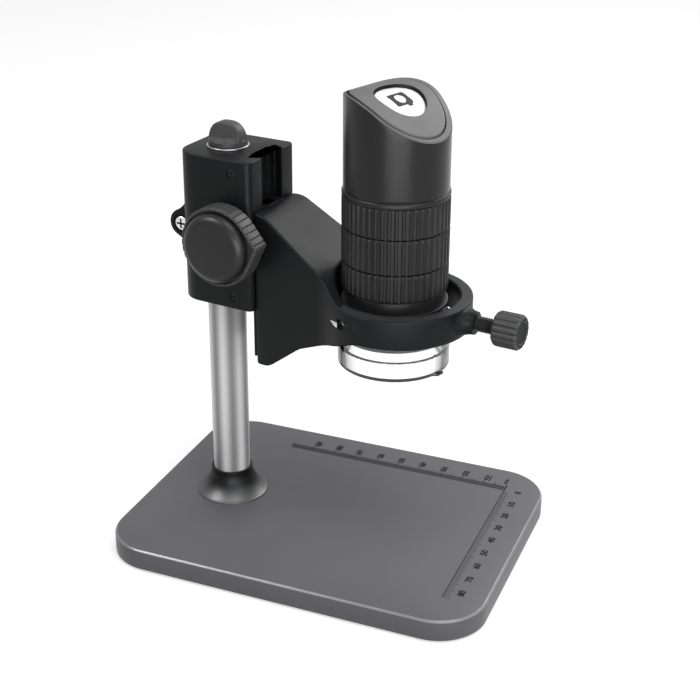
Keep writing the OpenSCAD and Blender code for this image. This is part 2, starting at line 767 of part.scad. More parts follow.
// Distance along a line from p in direction d to the centre of a circle of radius r that
// lies on its outer side and touches a ring of radius out about c
function blend_at(p, d, n, r, c, out) =
    let (q = p + n * r - c, b = q * d) -b - sqrt(b * b - q * q + (out + r) * (out + r));
module arm_plan() {
    c = [ring_reach, 0];
    p = [arm_x, arm_half_w];
    d = [cos(flank_angle), sin(flank_angle)];
    n = [-sin(flank_angle), cos(flank_angle)];
    f = p + d * blend_at(p, d, n, flank_r, c, ring_out) + n * flank_r;
    on_ring = atan2(f[1] - c[1], f[0] - c[0]);
    boss_y = boss_r + boss_blend_r;
    g = [ring_reach + sqrt(pow(ring_out + boss_blend_r, 2) - pow(boss_y, 2)), boss_y];
    off_ring = atan2(g[1] - c[1], g[0] - c[0]);
    polygon(both_sides(concat(
        [p],
        arc(f, flank_r, flank_angle - 90, on_ring - 180),
        arc(c, ring_out, on_ring, off_ring, corner_steps * 3),
        arc(g, boss_blend_r, off_ring - 180, -90),
        [[boss_end, boss_r]]
    )));
}
module arm_side() {
    under_break_share = 0.486;
    shelf_share = 0.9;
    run = ring_top - (arm_z + arm_h);
    top_a = arm_x + arm_top_r / 2;
    top_b = top_a - run / tan(top_slope);
    foot_a = arm_x + arm_foot_r / 2;
    rise = ring_z - arm_z;
    mid = [foot_a + rise * under_break_share / tan(under_slope), arm_z + rise * under_break_share];
    flat = [mid[0] + (ring_reach - mid[0]) * shelf_share, ring_z];
    far = boss_end - boss_l;
    nip = ring_h / 2 - boss_r;
    side_slab(ring_out + ring_wall, concat(
        [[arm_x, arm_z + arm_h]],
        corner([arm_x, arm_z + arm_h], [top_a, arm_z + arm_h], [top_b, ring_top], arm_top_r),
        corner([top_a, arm_z + arm_h], [top_b, ring_top], [boss_end, ring_top], arm_blend_r),
        [[far, ring_top]],
        [[boss_end, ring_top - nip], [boss_end, ring_z + nip]],
        [[far, ring_z]],
        corner([far, ring_z], flat, mid, arm_blend_r),
        corner(flat, mid, [foot_a, arm_z], arm_blend_r),
        corner(mid, [foot_a, arm_z], [arm_x, arm_z], arm_foot_r),
        [[arm_x, arm_z]]
    ));
}
module rail() {
    lean = (groove_floor - groove_mouth) / 2 / groove_d;
    inner = floor_x + rail_gap;
    side = rail_gap * sqrt(1 + lean * lean);
    translate([0, 0, arm_z]) linear_extrude(height = arm_h) polygon(both_sides([
        [inner, groove_floor / 2 - side - rail_gap * lean],
        [block_nose, groove_mouth / 2 - side],
        [arm_x + cut, groove_mouth / 2 - side]
    ]));
}
module set_frame(way) {
    at_head() translate([scope_reach, 0, screw_z]) rotate([0, 90, way * set_turn]) children();
}
module arm() {
    relief_share = 1.25;
    color([0.14, 0.14, 0.15]) difference() {
        at_head() union() {
            intersection() {
                translate([0, 0, arm_z]) linear_extrude(height = arm_h) arm_plan();
                arm_side();
            }
            rail();
        }
        at_head() translate([ring_reach, 0, 0]) rod(ring_r, arm_z, arm_z + arm_h);
        at_head() translate([floor_x, -rack_w / 2, arm_z - cut])
            cube([rack_back - floor_x, rack_w, arm_h + 2 * cut]);
        at_thumb() rod(thumb_r + seat_gap, ring_r - cut, boss_end - scope_reach + cut);
        for (way = [-1, 1]) set_frame(way) rod(set_r + seat_gap, lower_r, ring_out + ring_wall);
        for (way = [-1, 1]) at_head() translate([ring_reach, 0, screw_z])
            rotate([0, 0, way * set_turn]) translate([ring_out + set_r / 2, 0, 0])
                rotate([90, 0, 0]) rod(set_r * relief_share, -ring_out / 2, ring_out / 2);
    }
}
module rack() {
    teeth = floor((arm_h - tooth_pitch) / tooth_pitch);
    lean = tan(tooth_angle);
    half_t = (tooth_pitch / 2 - tooth_play) / 2;
    tip_x = pitch_x - addendum;
    root_x = pitch_x + dedendum;
    shift = ceil((arm_z - pinion_z) / tooth_pitch) + 1;
    base_z = pinion_z + tooth_pitch * (shift - 1 / 2);
    top_z = base_z + tooth_pitch * (teeth - 3 / 2);
    color([0.5, 0.5, 0.52]) at_head() side_slab(pinion_w / 2, concat(
        [[rack_back, base_z - tooth_pitch / 2], [root_x, base_z - tooth_pitch / 2]],
        [for (t = [0:teeth - 2]) let (z = base_z + tooth_pitch * t) each [
            [root_x, z - half_t - dedendum * lean],
            [tip_x, z - half_t + addendum * lean],
            [tip_x, z + half_t - addendum * lean],
            [root_x, z + half_t + dedendum * lean]
        ]],
        [[root_x, top_z], [rack_back, top_z]]
    ));
}
module set_screws() {
    hex_share = 0.5;
    tip = liner_r + seat_gap;
    color([0.7, 0.7, 0.72]) for (way = [-1, 1]) set_frame(way) difference() {
        rod(set_r, tip, tip + set_l);
        translate([0, 0, tip + set_l / 2]) cylinder(r = set_r * hex_share, h = set_l, $fn = 6);
    }
}

// Thumb screw

module ring_liner() {
    color([0.2, 0.2, 0.2]) at_head() translate([scope_reach, 0, screw_z - liner_h / 2]) difference() {
        tube(liner_r, lower_r + run_gap, 0, liner_h);
        translate([-liner_r - cut, -liner_slit / 2, -cut]) cube([liner_r, liner_slit, liner_h + 2 * cut]);
    }
}
module pressure_pad() {
    color([0.1, 0.1, 0.1]) at_thumb() rod(press_r, press_z, press_z + press_t);
}
module thumb_screw() {
    color([0.25, 0.25, 0.26]) at_thumb() rod(thumb_r, thumb_z, thumb_knob_z + thumb_knob_l / 2);
}
module thumb_knob() {
    root = thumb_knob_r - thumb_rib_d;
    points = 4;
    color([0.18, 0.18, 0.18]) at_thumb() translate([0, 0, thumb_knob_z]) difference() {
        intersection() {
            linear_extrude(height = thumb_knob_l) polygon([
                for (i = [0:thumb_ribs * points - 1])
                    let (
                        a = 360 * i / thumb_ribs / points,
                        r = i % points < points / 2 ? thumb_knob_r : root
                    )
                    r * [cos(a), sin(a)]
            ]);
            bevelled(thumb_knob_r, 0, thumb_knob_l, thumb_bevel, thumb_bevel);
        }
        rod(thumb_r + seat_gap / 2, -cut, thumb_knob_l / 2);
    }
}

// Microscope

// Outline of ribs and hollows round a band
function rib_outline(r, d, count) = [
    for (i = [0:count - 1], s = [0:3])
        let (a = 360 * (i + rib_shares[s]) / count, q = s == 0 || s == 3 ? r - d : r)
        q * [cos(a), sin(a)]
];
// Ribbed sleeve between two heights, bevelled where it meets a plain part
module ribbed_band(z0, z1, low_bevel, high_bevel) {
    inner = chassis_r + run_gap;
    difference() {
        intersection() {
            translate([0, 0, z0]) linear_extrude(height = z1 - z0)
                polygon(rib_outline(rib_r, rib_d, rib_count));
            bevelled(rib_r, z0, z1, low_bevel, high_bevel);
        }
        rod(inner, z0 - cut, z1 + cut);
    }
}
module low_grip_band() {
    color([0.13, 0.13, 0.14]) at_scope()
        ribbed_band(ribs_z, focus_z - half_gap, rib_d * rib_end_share, rib_d);
}
module focus_ring() {
    color([0.13, 0.13, 0.14]) at_scope()
        ribbed_band(focus_z + half_gap, top_band_z - half_gap, rib_d, rib_d);
}
module top_grip_band() {
    ribs_end = barrel_z - shoulder_h;
    color([0.13, 0.13, 0.14]) at_scope() {
        ribbed_band(top_band_z + half_gap, ribs_end, rib_d, rib_d * rib_end_share);
        rotate_extrude() polygon([
            [chassis_r + run_gap, ribs_end], [rib_r - rib_d, ribs_end], [rib_r, ribs_end + rib_d],
            [rib_r, barrel_z - rib_d], [barrel_r, barrel_z], [chassis_r + run_gap, barrel_z]
        ]);
    }
}
module chassis_tube() {
    color([0.2, 0.2, 0.21]) at_scope() difference() {
        union() {
            rod(chassis_r, ribs_z - half_gap, chassis_top);
            rod(lower_in - run_gap, lower_z + board_t, ribs_z);
        }
        rod(chassis_in, ribs_z + chassis_wall, chassis_top + cut);
        rod(lower_in - run_gap - chassis_wall, lower_z, ribs_z + chassis_wall + cut);
    }
}
module lower_barrel() {
    neck = lower_in - board_t;
    color([0.12, 0.12, 0.13]) at_scope() difference() {
        rod(lower_r, lower_z, ribs_z - half_gap * 2);
        rod(lower_in, lower_z + board_t, ribs_z + cut);
        rod(neck, lower_z - cut, lower_z + board_t + cut);
    }
}
module led_board() {
    color([0.1, 0.3, 0.15]) at_scope()
        tube(lower_in - board_t - seat_gap, lens_cell_r, lower_z, lower_z + board_t);
}
module leds() {
    ring = (lower_in + lens_cell_r) / 2 - led_r / 2;
    color([0.95, 0.95, 0.85]) at_scope() for (i = [0:led_count - 1]) rotate([0, 0, 360 * i / led_count])
        translate([ring, 0, 0]) rod(led_r, lower_z - led_h, lower_z);
}
module clear_tip() {
    socket = lower_r + run_gap;
    color([0.85, 0.9, 0.92, 0.35]) at_scope() difference() {
        union() {
            rod(tip_r, scope_z, scope_z + tip_h);
            translate([0, -tab_w / 2, scope_z]) cube([tip_r + tab_reach, tab_w, tab_t]);
        }
        rod(tip_r - tip_wall, scope_z - cut, scope_z + tip_step);
        rod(socket - tip_wall, scope_z, lower_z);
        rod(socket, lower_z - seat_gap, scope_z + tip_h + cut);
    }
}
// Outline under the sloping face, set down by d along its normal and closed at height z
function under_face(d, z) =
    let (r = crest_r - d, end = barrel_r + crest_r,
        t = [r * sin(face_slope) - crest_back, crest_z - crest_r + r * cos(face_slope)],
        from = -2 * crest_r * sin(face_slope))
    concat(
        [[-end, z], [-end, crest_z - crest_r]],
        [for (i = [corner_steps:-1:1]) let (a = 90 * i / corner_steps)
            [-crest_back - r * sin(a), crest_z - crest_r + r * cos(a)]],
        [for (i = [0:corner_steps]) let (a = face_slope * i / corner_steps)
            [-crest_back + r * sin(a), crest_z - crest_r + r * cos(a)]],
        [[end, t[1] - (end - t[0]) * tan(face_slope)], [end, z]]
    );
module face_slab(d) side_slab(barrel_r + crest_r, under_face(d, barrel_z - crest_r));
// Frame of the button: its centre on the face, +Z out along the face's normal
module at_button() {
    z = crest_z - crest_r + crest_r * cos(button_tilt);
    at_scope() translate([button_fore, button_side, z]) rotate([0, button_tilt, 0]) children();
}
function oval(grow, count = 48) = [for (i = [0:count - 1])
    [(button_a + grow) * cos(360 * i / count), (button_b + grow) * sin(360 * i / count)]];
module oval_rod(grow, z0, z1) translate([0, 0, z0]) linear_extrude(height = z1 - z0) polygon(oval(grow));
module upper_barrel() {
    port_z = chassis_top + board_t;
    color([0.22, 0.22, 0.23]) difference() {
        at_scope() intersection() {
            rod(barrel_r, barrel_z, crest_z + cut);
            face_slab(0);
        }
        at_scope() intersection() {
            rod(barrel_in, barrel_z - cut, crest_z);
            face_slab(cover_t + cover_ledge);
        }
        at_scope() translate([0, -cover_side, 0]) intersection() {
            rod(cover_r - cover_ledge, barrel_z, crest_z + cut);
            face_slab(0);
        }
        at_scope() translate([0, -cover_side, 0]) difference() {
            rod(cover_r, barrel_z + cover_t, crest_z + cut);
            face_slab(cover_t);
        }
        at_scope() translate([-barrel_r - cut, -socket_w / 2 - seat_gap, port_z - seat_gap])
            cube([barrel_wall + 2 * cut, socket_w + 2 * seat_gap, socket_h + 2 * seat_gap]);
    }
}
module top_cover() {
    color([0.48, 0.48, 0.49]) difference() {
        at_scope() difference() {
            intersection() {
                translate([0, -cover_side, 0]) rod(cover_r - cover_gap, barrel_z, crest_z + cut);
                face_slab(0);
            }
            face_slab(cover_t);
        }
        at_button() oval_rod(button_gap, -crest_r, crest_r);
    }
}
module shutter_button() {
    lip_d = cover_t + seat_gap;
    color([0.93, 0.93, 0.93]) {
        intersection() {
            at_button() oval_rod(0, -crest_r / 2, crest_r / 2);
            at_scope() difference() {
                face_slab(button_sunk);
                face_slab(lip_d + button_lip_t);
            }
        }
        intersection() {
            at_button() oval_rod(button_lip, -crest_r / 2, crest_r / 2);
            at_scope() difference() {
                face_slab(lip_d);
                face_slab(lip_d + button_lip_t);
            }
        }
    }
}
module button_switch() {
    plunger_share = 0.3;
    color([0.15, 0.15, 0.15]) at_button() {
        translate([-switch_s / 2, -switch_s / 2, switch_foot]) cube([switch_s, switch_s, switch_h]);
        rod(switch_s * plunger_share, switch_foot, switch_foot + switch_h + button_travel);
    }
}
module button_board() {
    color([0.1, 0.3, 0.15]) intersection() {
        at_button() translate([-barrel_r, -barrel_r, switch_foot - board_t])
            cube([2 * barrel_r, 2 * barrel_r, board_t]);
        at_scope() rod(barrel_in, barrel_z, crest_z);
        at_scope() face_slab(cover_t + cover_ledge + button_lip_t + button_travel);
    }
}
module main_board() {
    color([0.1, 0.3, 0.15]) at_scope() rod(barrel_in - seat_gap, chassis_top, chassis_top + board_t);
}
module cable_socket() {
    z = chassis_top + board_t;
    shell_share = 0.12;
    wall = socket_h * shell_share;
    color([0.75, 0.75, 0.77]) at_scope() translate([-barrel_r + wall, 0, z]) difference() {
        translate([0, -socket_w / 2, 0]) cube([socket_d, socket_w, socket_h]);
        translate([-cut, wall - socket_w / 2, wall])
            cube([socket_d, socket_w - 2 * wall, socket_h - 2 * wall]);
    }
}
module image_sensor() {
    color([0.3, 0.32, 0.36]) at_scope()
        translate([-sensor_s / 2, -sensor_s / 2, chassis_top - sensor_h])
            cube([sensor_s, sensor_s, sensor_h]);
}
module lens_cell() {
    color([0.12, 0.12, 0.12]) at_scope() translate([0, 0, focus_z]) difference() {
        union() {
            rod(lens_cell_r, -lens_cell_l / 2, lens_cell_l / 2);
            rod(chassis_in, -chassis_wall, chassis_wall);
        }
        rod(lens_r, -lens_cell_l, lens_cell_l);
    }
}
module lens() {
    bulge_share = 0.25;
    edge_share = 0.15;
    sag = lens_r * bulge_share;
    edge = lens_r * edge_share;
    ball = (lens_r * lens_r + sag * sag) / 2 / sag;
    reach = asin(lens_r / ball);
    bulge = arc([0, edge + sag - ball], ball, 90, 90 - reach);
    color([0.8, 0.9, 0.95, 0.4]) at_scope() translate([0, 0, focus_z - lens_cell_l / 4])
        rotate_extrude() polygon(concat(
            bulge, [for (i = [len(bulge) - 1:-1:0]) [bulge[i][0], -bulge[i][1]]]
        ));
}

base_plate();
base_mat();
column_bolt();
column_foot_plug();
column_tube();
column_top_plug();
column_collar();
focus_block();
clamp_screw();
clamp_nut();
gib_screws();
shaft_bush();
lock_washer();
lock_knob();
lock_screw();
pinion_shaft();
pinion_gear();
knob_grip();
knob_cap();
arm();
rack();
set_screws();
ring_liner();
pressure_pad();
thumb_screw();
thumb_knob();
lower_barrel();
led_board();
leds();
clear_tip();
chassis_tube();
low_grip_band();
focus_ring();
top_grip_band();
upper_barrel();
top_cover();
shutter_button();
button_switch();
button_board();
main_board();
image_sensor();
lens_cell();
lens();
cable_socket();
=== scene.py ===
"""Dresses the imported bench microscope: smooth surfaces, finishes, printed rulers, light and camera.

Lengths are in millimetres until a piece is placed; the scene itself is in metres.
"""
from __future__ import annotations

import json
import logging
import math
from dataclasses import dataclass, field, replace
from enum import Enum

import bmesh
import bpy
import numpy as np
from mathutils import Matrix, Vector


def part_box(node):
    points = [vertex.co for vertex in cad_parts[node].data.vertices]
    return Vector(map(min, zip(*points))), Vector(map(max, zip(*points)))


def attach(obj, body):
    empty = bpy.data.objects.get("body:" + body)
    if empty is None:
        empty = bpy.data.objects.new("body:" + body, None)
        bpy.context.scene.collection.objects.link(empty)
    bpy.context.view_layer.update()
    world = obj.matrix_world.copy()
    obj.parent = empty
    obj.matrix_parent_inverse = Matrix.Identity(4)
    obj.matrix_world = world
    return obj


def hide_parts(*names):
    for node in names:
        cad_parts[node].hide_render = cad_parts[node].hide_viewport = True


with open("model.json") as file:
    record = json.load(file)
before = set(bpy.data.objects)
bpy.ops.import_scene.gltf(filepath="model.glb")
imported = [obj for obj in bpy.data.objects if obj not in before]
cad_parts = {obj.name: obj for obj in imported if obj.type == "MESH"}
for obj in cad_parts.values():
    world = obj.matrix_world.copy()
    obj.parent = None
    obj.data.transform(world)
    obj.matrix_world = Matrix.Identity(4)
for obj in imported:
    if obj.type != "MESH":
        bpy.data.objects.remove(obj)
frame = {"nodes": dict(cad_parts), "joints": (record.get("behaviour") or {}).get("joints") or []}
LOG = logging.getLogger("microscope")
MM = 0.001
TAU = 2 * math.pi
SHARP_DEG = 32.0
MERGE_M = 1e-7
NODE_MERGE_M = 2e-6
FLAT_DEG = 1.0
EASED_DEG = 35.0
GRAIN_M = 0.00003
SHEEN_ROUGHNESS = 0.3
Points = np.ndarray
Mesh = bpy.types.Mesh
Object = bpy.types.Object
Socket = bpy.types.NodeSocket
Tree = bpy.types.NodeTree


class Body(str, Enum):
    """The moving bodies that the pieces ride on."""

    BASE = "base"
    HEAD = "head"
    LOCK = "lock"
    DRIVE = "focus_drive"
    ARM = "arm"
    LINER = "liner"
    PAD = "pad"
    THUMB = "thumb"
    SCOPE = "scope"
    FOCUS_RING = "focus_ring"
    BUTTON = "button"
    TIP = "tip"


class Ends(Enum):
    """How a swept grid is closed at its first and last row."""

    CAPPED = "capped"
    LOOPED = "looped"


# Finishes


def feed(tree: Tree, node: bpy.types.Node, inputs: dict) -> None:
    """Fills a node's inputs.

    Args:
        tree: The nodes that it belongs to.
        node: The node.
        inputs: For each input, by name or number, a plain value or another node's output.
    """
    for name, value in inputs.items():
        if isinstance(value, Socket):
            tree.links.new(value, node.inputs[name])
        else:
            node.inputs[name].default_value = value


def add_node(tree: Tree, kind: str, inputs: dict | None = None, **settings: str) -> bpy.types.Node:
    """Adds a shader node.

    Args:
        tree: The nodes to add to.
        kind: The node's type, without the words that all shader nodes' types start with.
        inputs: What goes into its inputs, in the form that feed takes.
        settings: Values of the node's own properties.

    Returns:
        The node.
    """
    made = tree.nodes.new("ShaderNode" + kind)
    for name, value in settings.items():
        setattr(made, name, value)
    feed(tree, made, inputs or {})
    return made


def calculated(tree: Tree, operation: str, first: Socket, second: Socket | float) -> Socket:
    """Adds a calculation with two values and gives its result."""
    return add_node(tree, "Math", {0: first, 1: second}, operation=operation).outputs[0]


@dataclass(frozen=True)
class Finish:
    """A moulded, coated or machined finish, with its fine grain and its uneven tone."""

    name: str
    slot: str
    colour: tuple[float, float, float]
    roughness: float
    metallic: float = 0.0
    grain_per_m: float = 2600.0
    grain_strength: float = 0.12
    tone_share: float = 0.12
    tone_per_m: float = 45.0
    rough_share: float = 0.12
    specular: float = 0.5
    brushed: float = 0.0
    sheen: float = 0.0
    shift: tuple[float, float, float] = (0.0, 0.0, 0.0)

    def material(self) -> bpy.types.Material:
        """Builds the material, or returns it when it is there already.

        Returns:
            The node-based material of this finish.
        """
        if self.name in bpy.data.materials:
            return bpy.data.materials[self.name]
        material = bpy.data.materials.new(self.name)
        material.use_nodes = True
        tree = material.node_tree
        place = add_node(tree, "TexCoord").outputs["Object"]
        mapping = add_node(tree, "Mapping", {"Vector": place, "Location": self.shift})
        feed(tree, tree.nodes["Principled BSDF"], self.surface(tree, mapping.outputs["Vector"]))
        return material

    def surface(self, tree: Tree, place: Socket) -> dict:
        """Gives the surface shader's inputs.

        Args:
            tree: The material's nodes.
            place: The place that the patterns go by.

        Returns:
            The inputs, in the form that feed takes.
        """
        inputs = {"Base Color": self.tone(tree, place), "Roughness": self.gloss(tree, place),
                  "Normal": self.grain(tree, place), "Metallic": self.metallic,
                  "Specular IOR Level": self.specular, "Anisotropic": self.brushed,
                  "Sheen Weight": self.sheen, "Sheen Roughness": SHEEN_ROUGHNESS}
        if self.brushed:
            tangent = add_node(tree, "Tangent", direction_type="RADIAL", axis="Z")
            inputs["Tangent"] = tangent.outputs["Tangent"]
        return inputs

    def tone(self, tree: Tree, place: Socket) -> Socket:
        """Gives the colour, varied softly between a darker and a lighter tone."""
        noise = self.noise(tree, place, self.tone_per_m, 3.0)
        return self.tinted(tree, noise, (1 - self.tone_share, 1 + self.tone_share), (0.3, 0.7))

    def tinted(self, tree: Tree, value: Socket, shares: tuple[float, float],
               ends: tuple[float, float] = (0.0, 1.0)) -> Socket:
        """Turns a value into a colour between two shares of the finish's own.

        Args:
            tree: The material's nodes.
            value: The value.
            shares: The shares of the colour at the two ends.
            ends: The values at which they are reached.

        Returns:
            The output that carries the colour.
        """
        ramp = add_node(tree, "ValToRGB", {"Fac": value})
        for element, share, end in zip(ramp.color_ramp.elements, shares, ends):
            element.position = end
            element.color = tuple(min(1.0, c * share) for c in self.colour) + (1.0,)
        return ramp.outputs["Color"]

    def gloss(self, tree: Tree, place: Socket) -> Socket:
        """Gives the roughness, varied by its share with a medium pattern.

        Args:
            tree: The material's nodes.
            place: The place that the pattern goes by.

        Returns:
            The output that carries the roughness.
        """
        low, high = (self.roughness * (1 + way * self.rough_share) for way in (-1, 1))
        noise = self.noise(tree, place, self.tone_per_m * 6, 4.0)
        spread = {"Value": noise, "To Min": low, "To Max": min(1.0, high)}
        return add_node(tree, "MapRange", spread).outputs["Result"]

    def grain(self, tree: Tree, place: Socket) -> Socket:
        """Gives the normals of the fine grain, as a bump of one small depth.

        Args:
            tree: The material's nodes.
            place: The place that the grain goes by.

        Returns:
            The output that carries the normals.
        """
        bump = {"Height": self.noise(tree, place, self.grain_per_m, 2.0), "Distance": GRAIN_M,
                "Strength": self.grain_strength}
        return add_node(tree, "Bump", bump).outputs["Normal"]

    @staticmethod
    def noise(tree: Tree, place: Socket, per_m: float, detail: float) -> Socket:
        """Adds a noise of so many features per metre, with octaves of detail."""
        inputs = {"Vector": place, "Scale": per_m, "Detail": detail}
        return add_node(tree, "TexNoise", inputs).outputs["Fac"]


@dataclass(frozen=True)
class ClearFinish(Finish):
    """A clear moulding that light passes through, with painted edge shade: its colour is darker where it
    is seen edge on.
    """

    index: float = 1.49
    # Share of the colour where the wall is seen edge on: painted edge shade.
    edge: float = 0.02

    def surface(self, tree: Tree, place: Socket) -> dict:
        """Gives the shader's inputs, with all of the light passing through."""
        return super().surface(tree, place) | {"Transmission Weight": 1.0, "IOR": self.index}

    def tone(self, tree: Tree, place: Socket) -> Socket:
        """Paints edge shade: darkens the colour where the wall is seen edge on; the place doesn't matter
        here.
        """
        facing = add_node(tree, "LayerWeight").outputs["Facing"]
        return self.tinted(tree, facing, (1.0, self.edge), (0.28, 0.54))


@dataclass(frozen=True)
class BandedFinish(Finish):
    """A drawn tube whose polish runs lengthwise, with painted reflection bands: lighter and darker in
    turn round its axis.
    """

    bands: int = 6
    phase: float = 0.0

    def tone(self, tree: Tree, place: Socket) -> Socket:
        """Paints the reflection bands: colours the tube by the cosine of its bands times the angle about
        its axis.

        Args:
            tree: The material's nodes.
            place: The place, with the tube's axis at zero.

        Returns:
            The output that carries the colour.
        """
        value = add_node(tree, "TexGradient", {"Vector": place}, gradient_type="RADIAL").outputs["Fac"]
        for operation, amount in (("MULTIPLY", TAU * self.bands), ("ADD", self.phase), ("COSINE", 0.0),
                                  ("MULTIPLY", 0.5), ("ADD", 0.5)):
            value = calculated(tree, operation, value, amount)
        return self.tinted(tree, value, (1 - self.tone_share, 1 + self.tone_share))


@dataclass(frozen=True)
class FadedFinish(Finish):
    """A coat that is glossy low down and fades to a dull one higher up."""

    fade_low: float = 0.0
    fade_high: float = 0.01
    fade_share: float = 0.9

    def surface(self, tree: Tree, place: Socket) -> dict:
        """Gives the shader's inputs, with a metallic share that rises with the height.

        A metal as dark as this coat mirrors little, so that share takes the gloss away.

        Args:
            tree: The material's nodes.
            place: The place that the patterns and the height go by.

        Returns:
            The inputs, in the form that feed takes.
        """
        height = add_node(tree, "SeparateXYZ", {"Vector": place}).outputs["Z"]
        fade = {"Value": height, "From Min": self.fade_low, "From Max": self.fade_high,
                "To Max": self.fade_share}
        metal = add_node(tree, "MapRange", fade, interpolation_type="SMOOTHSTEP")
        return super().surface(tree, place) | {"Metallic": metal.outputs["Result"]}


PLATE_COAT = Finish("plate_coat", "plate", (0.132, 0.132, 0.141), 0.42, grain_per_m=3400,
                    grain_strength=0.2, tone_share=0.06, tone_per_m=14, specular=0.2)
# Painted highlight: the bevel's lighter colour stands in for the light that the edge catches.
PLATE_EDGE_HIGHLIGHT = Finish("plate_edge_highlight", "plate", (0.24, 0.24, 0.245), 0.24, grain_per_m=3400,
                    grain_strength=0.1, tone_share=0.1, tone_per_m=60, specular=0.6)
BLACK_COAT = Finish("black_coat", "black_metal", (0.0088, 0.0094, 0.0104), 0.42, grain_strength=0.16,
                    tone_per_m=30, specular=0.11)
# Painted light: the ring's top face is coloured lighter than the rest of the black coat, for the light
# from above.
RING_TOP_LIGHT = replace(BLACK_COAT, name="ring_top_light", colour=(0.033, 0.034, 0.036))
# Painted shade: the thumb knob's end face is coloured much darker than its sides.
THUMB_END_SHADE = replace(BLACK_COAT, name="thumb_end_shade", specular=0.04)
FOOT_COAT = FadedFinish("foot_coat", "black_plastic", (0.011, 0.0115, 0.012), 0.42, grain_strength=0.1,
                        specular=1.1, fade_low=0.0102, fade_high=0.0162, fade_share=0.95)
BLACK_MOULDING = Finish("black_moulding", "black_plastic", (0.021, 0.021, 0.022), 0.36, grain_per_m=2200,
                        grain_strength=0.14, specular=0.35)
BARREL_COAT = Finish("barrel_coat", "black_plastic", (0.014, 0.014, 0.0145), 0.3, sheen=0.3,
                     grain_per_m=3000, grain_strength=0.1, tone_share=0.06, tone_per_m=25, specular=0.2)
GRIP_MOULDING = Finish("grip_moulding", "grip_plastic", (0.014, 0.014, 0.0143), 0.38, grain_per_m=2200,
                       grain_strength=0.2, specular=0.2)
KNOB_MOULDING = Finish("knob_moulding", "grip_plastic", (0.058, 0.058, 0.058), 0.46, grain_per_m=2000,
                       grain_strength=0.2, specular=0.22)
GLOSS_BLACK = Finish("polished_black", "gloss_black", (0.0125, 0.011, 0.011), 0.36, grain_strength=0.03,
                     specular=0.28)
# Painted light: grey that stands in for the light from above on the black plastic of the cover and the
# barrel's sloping rim.
COVER_TOP_LIGHT = Finish("cover_top_light", "cover", (0.142, 0.142, 0.144), 0.5, grain_per_m=2800,
                        grain_strength=0.2, specular=0.15)
WHITE_MOULDING = Finish("white_moulding", "white_plastic", (0.9, 0.9, 0.9), 0.3, grain_strength=0.04,
                        tone_share=0.02)
DARK_INK = Finish("dark_ink", "white_plastic", (0.03, 0.03, 0.032), 0.5, tone_share=0.1, specular=0.1)
RULER_INK = Finish("ruler_ink", "plate", (0.006, 0.006, 0.006), 0.6, tone_share=0.2, tone_per_m=400,
                   specular=0.1)
# Painted reflection: the column's light and dark bands are in its colour, fixed round its axis.
DRAWN_TUBE_PAINTED_BANDS = BandedFinish("drawn_tube_painted_bands", "column", (0.64, 0.63, 0.63), 0.42, metallic=0.12,
                          grain_per_m=1800, grain_strength=0.1, tone_share=0.48, rough_share=0.1,
                          brushed=0.9, bands=7, phase=math.radians(33.3))
BRIGHT_STEEL = Finish("bright_steel", "bright", (0.66, 0.66, 0.66), 0.25, metallic=1.0,
                      grain_strength=0.05)
BARE_CUT = Finish("bare_cut", "steel", (0.5, 0.5, 0.5), 0.42, metallic=1.0, grain_strength=0.3)
MACHINED_STEEL = Finish("machined_steel", "steel", (0.42, 0.42, 0.43), 0.34, metallic=1.0,
                        grain_strength=0.2)
BLACKED_STEEL = Finish("blacked_steel", "steel", (0.014, 0.014, 0.015), 0.4, specular=0.2,
                       grain_strength=0.2)
SINTERED = Finish("sintered_bronze", "bronze", (0.42, 0.3, 0.16), 0.45, metallic=1.0, grain_strength=0.5)
MAT_RUBBER = Finish("mat_rubber", "rubber", (0.02, 0.02, 0.02), 0.7, grain_per_m=1500, grain_strength=0.5)
BOARD_MASK = Finish("board_mask", "board", (0.02, 0.09, 0.035), 0.3, grain_strength=0.2)
LAMP_RESIN = Finish("lamp_resin", "lamp", (0.85, 0.85, 0.7), 0.2, grain_strength=0.05)
SENSOR_GLASS = Finish("sensor_glass", "sensor", (0.06, 0.08, 0.11), 0.08, grain_strength=0.02)
# The clear tip's colour darkens where seen edge on: painted edge shade.
CLEAR_EDGE_SHADE_MOULDING = ClearFinish("clear_moulding_edge_shade", "clear", (0.95, 0.955, 0.955), 0.03, grain_per_m=300,
                             grain_strength=0.02, tone_share=0.0)
# Painted shade: an opaque dark band on the clear tip's bottom rim stands in for its dark edge line.
TIP_RIM_SHADE = Finish("tip_rim_shade", "clear", (0.03, 0.03, 0.032), 0.2, grain_per_m=300, grain_strength=0.02)
COATED_LENS = ClearFinish("coated_lens", "lens", (0.8, 0.88, 0.95), 0.02, grain_strength=0.01,
                          tone_share=0.01, index=1.6)


# Places


@dataclass(frozen=True)
class Place:
    """A local frame: an origin in millimetres and three unit axes."""

    origin: Points
    axes: Points

    def world(self, points: Points) -> Points:
        """Turns local millimetres into the scene's metres.

        Args:
            points: Local points, in any array shape that ends in 3.

        Returns:
            The same array of points in the scene, origin plus each coordinate along its axis.
        """
        return (self.origin + points @ self.axes) * MM

    def local(self, points: Points) -> Points:
        """Turns points of the scene, in metres, into local millimetres."""
        return (points / MM - self.origin) @ self.axes.T

    def moved(self, x: float, y: float, z: float) -> Place:
        """Returns the same frame with its origin moved along its own axes."""
        return Place(self.origin + np.array([x, y, z]) @ self.axes, self.axes)

    def turned(self, x_axis: Points, y_axis: Points, z_axis: Points) -> Place:
        """Returns a frame at the same origin whose axes are given in this one."""
        return Place(self.origin, np.array([x_axis, y_axis, z_axis], float) @ self.axes)


